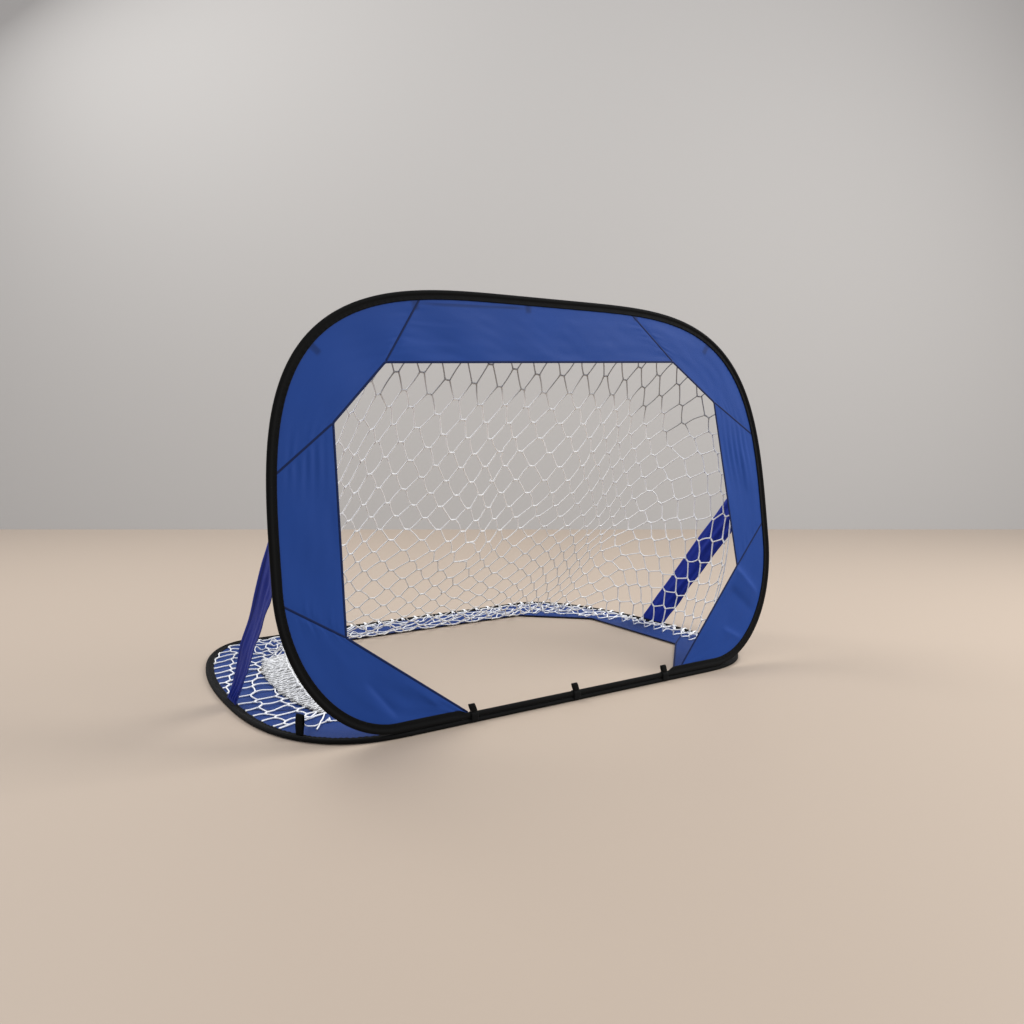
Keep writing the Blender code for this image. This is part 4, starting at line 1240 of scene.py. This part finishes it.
        path = np.array([(0.0040, 0.0088), (-0.0010, 0.0094), (-0.0050, 0.0112), (-0.0085, 0.0120),
                         (-0.0125, 0.0120), (-0.0165, 0.0090), (-0.0190, 0.0050)])
        parts = MeshParts()
        for side, first in self.lash_from:
            pitch = np.arange(first, 0.996, self.lash_pitch)
            for shift, lean in ((0.0, 0.008), (0.006, -0.006)):
                border, _, way = self.border(pitch + shift, np.full(len(pitch), side is Side.LEFT))
                slant = np.linspace(0.0, lean, len(path))
                along = np.stack([way[:, 1], -way[:, 0]], -1)
                flat = border[:, None] + way[:, None] * path[None, :, :1]
                flat = flat + along[:, None] * slant[None, :, None]
                height = np.broadcast_to(path[:, 1], flat.shape[:2])
                points = np.concatenate([flat, height[..., None]], -1) * (side.value, 1.0, 1.0)
                parts.tubes(points, self.lashing_radius, NET_SIDES)
        self.finish(parts.build("net_lashing", NET_TWINE))


# Straps, ties and cord


@dataclass
class Strap:
    """Flat cloth strap from the base binding to the back of the mouth binding, cut aslant.

    gather is the width of its foot as a share of its own.
    """

    side: Side
    foot_depth: float
    top_height: float
    gather: float = 1.0
    wide: float = 0.075
    foot_inset: float = 0.0115
    rows: int = 130
    cols: int = 49
    seed: int = 21

    def build(self) -> None:
        """A ribbon with slant ends: across = foot seam * (1 - t) + head seam * t.

        Its own gathers are fine pleats along it, puckers at both seams and folds at the foot.
        """
        seat = TUBE_THICK / 2 + 0.0003
        foot, _ = BASE.outline.beside(self.foot_depth - BASE_DEPTH / 2, self.foot_inset)
        head, _ = FACE.outline.beside(self.top_height, TUBE_WIDE * 0.35)
        low = np.array([foot[0], foot[1], BASE_MID + seat])
        high = FACE.world(head, -seat)
        run = unit(high - low)
        seams = [way * self.wide / np.linalg.norm(way - run * (way @ run))
                 for way in np.array([(0.0, 1.0, 0.0), (0.0, math.sin(LEAN), math.cos(LEAN))])]
        t = np.linspace(0.0, 1.0, self.rows)[:, None]
        s = np.linspace(-0.5, 0.5, self.cols)
        across = seams[0] * self.gather * (1 - t) + seams[1] * t
        points = (low + (high - low) * t)[:, None] + across[:, None] * s[None, :, None]
        length = float(np.linalg.norm(high - low))
        free = ease(t, 0.0, 0.15) * (1.0 - ease(t, 0.85, 1.0))
        v = np.broadcast_to(s * self.wide, (self.rows, self.cols))
        u = np.broadcast_to(t * length, (self.rows, self.cols))
        seed = self.seed + self.side.value
        billow = 0.005 * (1.0 - 4.0 * s[None] ** 2) + 0.0022 * ripples(u, v, seed, 0.16, 0.1, 0.5)
        pleat = 0.0013 * ripples(v, u * 0.15, seed + 5, 0.022, 0.0, 0.3)
        puckers = 0.0009 * (bell(u, 0.05) + bell(length - u, 0.05)) * np.sin(v * TAU / 0.013)
        folds = (1.0 - self.gather) * 0.0075 * bell(u, 0.11) * ease(u, 0.0, 0.02)
        folds = folds * np.sin(v * TAU / 0.0165)
        points[..., 0] -= (billow + pleat + puckers) * free + folds
        normal = facing(points)
        hem = 0.0009 + 0.0008 * ease(np.abs(s), 0.40, 0.43)
        flip = np.array([self.side.value, 1.0, 1.0])
        shade = 1.0 - 0.6 * bell(np.abs(v) - self.wide * 0.41, 0.0014)
        parts = MeshParts()
        parts.shell(points * flip, normal * flip, hem[None], u[:, 0], v[0], tone=shade)
        piece = parts.build(f"side_strap_{self.side.label}_cloth", STRAPPING)
        slant = sum(abs(float(seam @ run)) for seam in seams) / 2
        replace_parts(piece, f"side_strap_{self.side.label}")
        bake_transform(piece)


@dataclass
class Webbing:
    """Short pieces of black webbing: hinge ties, net ties and front ties."""

    wide: float = 0.017
    thick: float = 0.0011
    hinge_at: tuple = (("left", -0.264), ("centre", 0.0), ("right", 0.264))
    top_at: tuple = (("top_left", -0.322), ("top_centre", -0.050), ("top_right", 0.272),
                     ("corner_left", -0.520), ("corner_right", 0.520))

    def woven(self, path: Array, across: Array, cols: int, share: float, thin: float) -> MeshParts:
        """A line of points carried across some share of the width, thinner at both edges."""
        s = np.linspace(-0.5, 0.5, cols)
        points = path[:, None] + across * (s * self.wide * share)[None, :, None]
        thick = self.thick * (1.0 - thin * ease(np.abs(s), 0.42, 0.5))[None]
        parts = MeshParts()
        parts.shell(points, facing(points), thick, travelled(path), s * self.wide)
        return parts

    def strip(self, path: Array, across: Array, node: str, body: str) -> bpy.types.Object:
        """A strip of webbing that stands for a node.

        Args:
            path: (points, 3) middle line.
            across: unit vector of its width.
            node: what it replaces.
            body: what it rides on.
        """
        piece = self.woven(path, across, 9, 1.0, 0.35).build(f"{node}_webbing", WEBBING)
        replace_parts(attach(piece, body), node)
        return piece

    @staticmethod
    def curve(points: list, count: int) -> Array:
        """Even points on a smooth curve through the chosen ones (Catmull-Rom)."""
        chosen = np.array(points, float)
        ends = np.concatenate([[2 * chosen[0] - chosen[1]], chosen, [2 * chosen[-1] - chosen[-2]]])
        place = np.linspace(0.0, len(chosen) - 1.0, count)
        k = np.minimum(place.astype(int), len(chosen) - 2)
        t = (place - k)[:, None]
        a, b, c, d = (ends[k + i] for i in range(4))
        return 0.5 * (2 * b + (c - a) * t + (2 * a - 5 * b + 4 * c - d) * t ** 2
                      + (3 * b - a - 3 * c + d) * t ** 3)

    def hinge(self, label: str, x: float) -> None:
        """Lashing over the mouth tube and down both sides of the base tube, with a tail."""
        r = 0.0069
        low = 0.0022 - HINGE_HEIGHT
        arc = np.linspace(0.0, math.pi, 16)
        over = [(r * math.cos(a), r * math.sin(a)) for a in arc]
        loop = [(0.0052, low), (r, low + 0.003), (r, low + 0.008)] + over
        loop += [(-r, low + 0.008), (-r, low + 0.003), (-0.0052, low)]
        path = self.curve([(x, HINGE_Y + y, HINGE_HEIGHT + z) for y, z in loop], 90)
        self.strip(path, ACROSS, f"hinge_tie_{label}", "base")
        tail = [(0.0010, r - 0.0004), (0.0006, r + 0.006), (-0.0008, r + 0.0125), (-0.0030, r + 0.0172),
                (-0.0062, r + 0.0180), (-0.0076, r + 0.0145), (-0.0066, r + 0.0080), (-0.0050, r + 0.0010)]
        path = self.curve([(x - 0.45 * (z - r), HINGE_Y + y, HINGE_HEIGHT + z) for y, z in tail], 50)
        tail_piece = self.woven(path, ACROSS, 7, 0.8, 0.0).build(f"hinge_tie_{label}_tail", WEBBING)
        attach(tail_piece, "base")

    def net_tie(self, label: str, x: float) -> None:
        """Folded tab from the back of the hem, round the net's border cord and back."""
        start, way = FACE.outline.above(x, HEM_WIDE * 0.45)
        along = np.array([way[1], -way[0]])
        reach = 0.045 - HEM_WIDE * 0.45
        side = [(0.0, -0.0032), (0.010, -0.0033), (reach - 0.006, -0.0026), (reach, -0.0012),
                (reach + 0.0034, -0.0037), (reach, -0.0066), (reach - 0.006, -0.0056),
                (0.010, -0.0047), (0.0, -0.0045)]
        path = self.curve([(*(start + way * d), h) for d, h in side], TAB_POINTS)
        world = FACE.world(path[:, :2], path[:, 2])
        width = unit(FACE.world(start + along, 0.0) - FACE.world(start, 0.0))
        self.strip(world, width, f"net_tie_{label}", "face")

    def front_tie(self, side: Side) -> None:
        """Loop of webbing that stands on the base hem and holds the net's front corner."""
        place, way = BASE.outline.beside(FRONT_TIE_DEPTH - BASE_DEPTH / 2, FRONT_TIE_SEAT)
        loop = [(-0.0010, 0.0030), (-0.0014, 0.012), (-0.0020, 0.026), (0.0006, 0.0432),
                (0.0044, 0.0418), (0.0048, 0.026), (0.0020, 0.012), (0.0012, 0.0030)]
        path = self.curve([(*(place + way * d), h + 0.0046) for d, h in loop], TAB_POINTS)
        flip = np.array([side.value, 1.0, 1.0])
        width = np.array([way[1], -way[0], 0.0]) * flip
        piece = self.strip(path * flip, width, f"net_tie_base_{side.label}", "base")
        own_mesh(piece)

    def build(self) -> None:
        """Make every tie."""
        for label, x in self.hinge_at:
            self.hinge(label, x)
        for label, x in self.top_at:
            self.net_tie(label, x)
        for side in Side:
            self.front_tie(side)


@dataclass
class LacingTail:
    """Loose knotted end of the net's lacing cord, at the left front tie."""

    diameter: float = 0.003
    lie: float = 0.0074

    def route(self) -> Array:
        """The same chosen points as the solid's, inward of the tie, forward of it, and high."""
        start, way = BASE.outline.beside(FRONT_TIE_DEPTH - BASE_DEPTH / 2, FRONT_TIE_SEAT)
        along = np.array([way[1], -way[0]]) * (-1.0 if way[0] < 0 else 1.0)
        rows = [(0.000, 0.000, 0.036), (0.004, 0.000, 0.0385), (0.009, 0.000, 0.033),
                (0.014, -0.002, 0.024), (0.023, -0.003, 0.0175), (0.038, -0.005, 0.012),
                (0.055, -0.006, self.lie), (0.071, -0.005, self.lie), (0.093, 0.003, self.lie)]
        spots = [start + way * (0.0028 + inner) + along * front for inner, front, _ in rows]
        return Webbing.curve([(-spot[0], spot[1], row[2]) for spot, row in zip(spots, rows)], 90)

    def build(self) -> None:
        """Make the cord and the knot on its end."""
        path = self.route()
        parts = MeshParts()
        parts.tubes(path[None], self.diameter / 2, 10)
        cord = parts.build("net_cord_tail_cord", NET_TWINE)
        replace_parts(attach(cord, "base"), "net_cord_tail")
        end, run = path[-1], unit(path[-1] - path[-3])
        side = np.array([-run[1], run[0], 0.0])
        a = np.linspace(0.0, 1.0, 80)[:, None] * TAU
        wind = (end - run * 0.006 + run * 0.0035 * np.sin(2 * a) * 1.2 + side * 0.0040 * np.cos(a)
                + UP * (0.0016 + 0.0014 * np.sin(3 * a)))
        parts = MeshParts()
        parts.tubes(wind[None], self.diameter / 2 * 0.9, 8)
        tips = np.array([[end + side * out + run * on for out, on in tip]
                         for tip in (((0.0, -0.004), (0.008, 0.003), (0.017, 0.007)),
                                     ((0.0, -0.004), (-0.007, 0.006), (-0.014, 0.012)))])
        tips[:, :, 2] = self.lie
        parts.tubes(tips, self.diameter / 2, 8)
        knot = parts.build("net_cord_knot", NET_TWINE)
        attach(knot, "base")
        for piece in (cord, knot):
            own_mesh(piece)


# Studio


@dataclass
class Studio:
    """Camera at the photograph's angle, plain floor and wall, and soft lamps."""

    eye: tuple = (-1.1577, -1.9713, 0.6146)
    azimuth: float = -33.14
    pitch: float = 5.80
    lens: float = 30.79
    wall_distance: float = 5.05

    def camera(self) -> None:
        """Camera with no shift and no depth of field."""
        data = bpy.data.cameras.new("photo_camera")
        data.lens, data.sensor_width, data.clip_end = self.lens, 36.0, 100.0
        view = bpy.data.objects.new("photo_camera", data)
        view.location = self.eye
        view.rotation_euler = (math.radians(90.0 - self.pitch), 0.0, math.radians(self.azimuth))
        bpy.context.scene.collection.objects.link(view)
        bpy.context.scene.camera = view

    def flat(self, name: str, colour: tuple, corners: Array, rough: float) -> bpy.types.Object:
        """One plain surface of the stage."""
        mesh = bpy.data.meshes.new(name)
        mesh.from_pydata(corners.tolist(), [], [(0, 1, 2, 3)])
        piece = bpy.data.objects.new(name, mesh)
        bpy.context.scene.collection.objects.link(piece)
        recipe = Recipe(name)
        mesh.materials.append(recipe.finish(Base_Color=(*colour, 1.0), Roughness=rough,
                                            Specular_IOR_Level=0.25))
        return piece

    def stage(self) -> None:
        """A pale floor and a pale wall square to the view."""
        far = 14.0
        corners = np.array([(-far, -far, 0.0), (far, -far, 0.0), (far, far, 0.0), (-far, far, 0.0)])
        self.flat("floor", (0.395, 0.320, 0.252), corners, 0.55)
        turn = math.radians(self.azimuth)
        ahead = np.array([-math.sin(turn), math.cos(turn), 0.0])
        right = np.array([math.cos(turn), math.sin(turn), 0.0])
        foot = np.array([self.eye[0], self.eye[1], 0.0]) + ahead * self.wall_distance
        up, wide = UP * 6.0, right * 9
        corners = np.array([foot - wide, foot + wide, foot + wide + up, foot - wide + up])
        wall = self.flat("wall", (0.43, 0.42, 0.405), corners, 0.9)
        wall.visible_shadow = False
        wall.visible_diffuse = False

    def lamp(self, name: str, place: tuple, aim: tuple, size: float, power: float) -> None:
        """One square soft lamp."""
        data = bpy.data.lights.new(name, "AREA")
        data.size, data.energy = size, power
        lamp = bpy.data.objects.new(name, data)
        lamp.location = place
        way = np.array(aim) - np.array(place)
        flat = math.hypot(way[0], way[1])
        lamp.rotation_euler = (math.atan2(flat, -way[2]), 0.0, math.atan2(-way[0], way[1]))
        bpy.context.scene.collection.objects.link(lamp)

    def lights(self) -> None:
        """Two soft lamps overhead and an even world."""
        world = bpy.data.worlds.new("studio")
        world.use_nodes = True
        back = world.node_tree.nodes["Background"]
        back.inputs[0].default_value = (0.92, 0.94, 1.0, 1.0)
        back.inputs[1].default_value = 0.90
        bpy.context.scene.world = world
        self.lamp("over_right", (2.5, -1.9, 2.7), (0.1, -0.1, 0.3), 2.2, 122.0)
        self.lamp("over_back", (-1.4, 1.9, 3.6), (0.0, 0.0, 0.3), 2.6, 100.0)

    def build(self) -> None:
        """Make the whole set."""
        self.camera()
        self.stage()
        self.lights()


MOUTH = Surround(
    FACE, ("top_band", "top_corner", "side_band", "foot_gusset"),
    {Side.LEFT: Quarter((0.406, 0.725), (0.524, 0.604), (0.529, 0.193), (0.285, 0.012),
                        0.79, 0.093, 0.071),
     Side.RIGHT: Quarter((0.372, 0.755), (0.504, 0.657), (0.542, 0.236), (0.321, 0.011),
                         0.68, 0.082, 0.102)},
    seed=11,
    creases=(Crease((0.520, 0.250), (0.612, 0.150), 0.009, 0.0050),
             Crease((0.500, 0.190), (0.600, 0.105), 0.014, -0.0030),
             Crease((0.470, 0.085), (0.545, 0.045), 0.008, 0.0026),
             Crease((-0.34, 0.03), (-0.42, 0.10), 0.007, 0.0024),
             Crease((-0.43, 0.02), (-0.50, 0.11), 0.006, -0.0024),
             Crease((0.60, 0.42), (0.585, 0.54), 0.006, 0.0012),
             Crease((-0.375, 0.807), (-0.22, 0.803), 0.004, 0.0005),
             Crease((-0.395, 0.768), (-0.21, 0.763), 0.004, 0.0005)),
    gathers=(((0.585, 0.535), 0.070, 0.017, 0.0010), ((-0.585, 0.53), 0.05, 0.018, 0.0008)),
    # Painted shadows of the ties and of the net's border cord, where they show through the cloth.
    patches=(((-0.552, 0.747), (0.72, -0.69), 0.018, 0.009), ((-0.330, 0.848), (0.1, -1.0), 0.016, 0.010),
             ((-0.051, 0.860), (0.0, -1.0), 0.016, 0.010), ((0.262, 0.862), (-0.2, -1.0), 0.016, 0.009),
             ((0.490, 0.793), (-0.6, -0.8), 0.020, 0.009), ((-0.185, 0.853), (1.0, 0.03), 0.15, 0.004)))
REAR_QUARTER = Quarter(*((x, y - BASE_DEPTH / 2) for x, y in (
    (0.360, 0.785), (0.530, 0.620), (0.527, 0.240), (0.318, 0.030))))
# The base cloth is darkened to 0.66 of its colour as painted shade.
FLOOR = Surround(
    BASE, ("rear_band", "rear_corner", "side_band", "front_gusset"),
    {Side.LEFT: REAR_QUARTER, Side.RIGHT: REAR_QUARTER}, seed=41, billow=0.0005, shade=0.66)


def main() -> None:
    """Build the studio and every part of the goal, in order."""
    logging.basicConfig(level=logging.INFO, format="%(name)s %(message)s")
    bpy.context.scene.view_settings.view_transform = "Standard"
    Studio().build()
    LacingTail().build()
    for surround in (MOUTH, FLOOR):
        Binding(surround.hoop).build()
        surround.build()
    Strap(Side.LEFT, 0.3835, 0.345, 0.63).build()
    Strap(Side.RIGHT, 0.4735, 0.470).build()
    Webbing().build()
    Net().build()
    for node, finish in (("spring_band", SPRING), ("band_ferrule", CRIMP)):
        for body in ("face", "base"):
            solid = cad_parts[f"{body}_{node}"]
            solid.material_slots[0].material = finish.material()


if __name__ == "__main__":
    main()
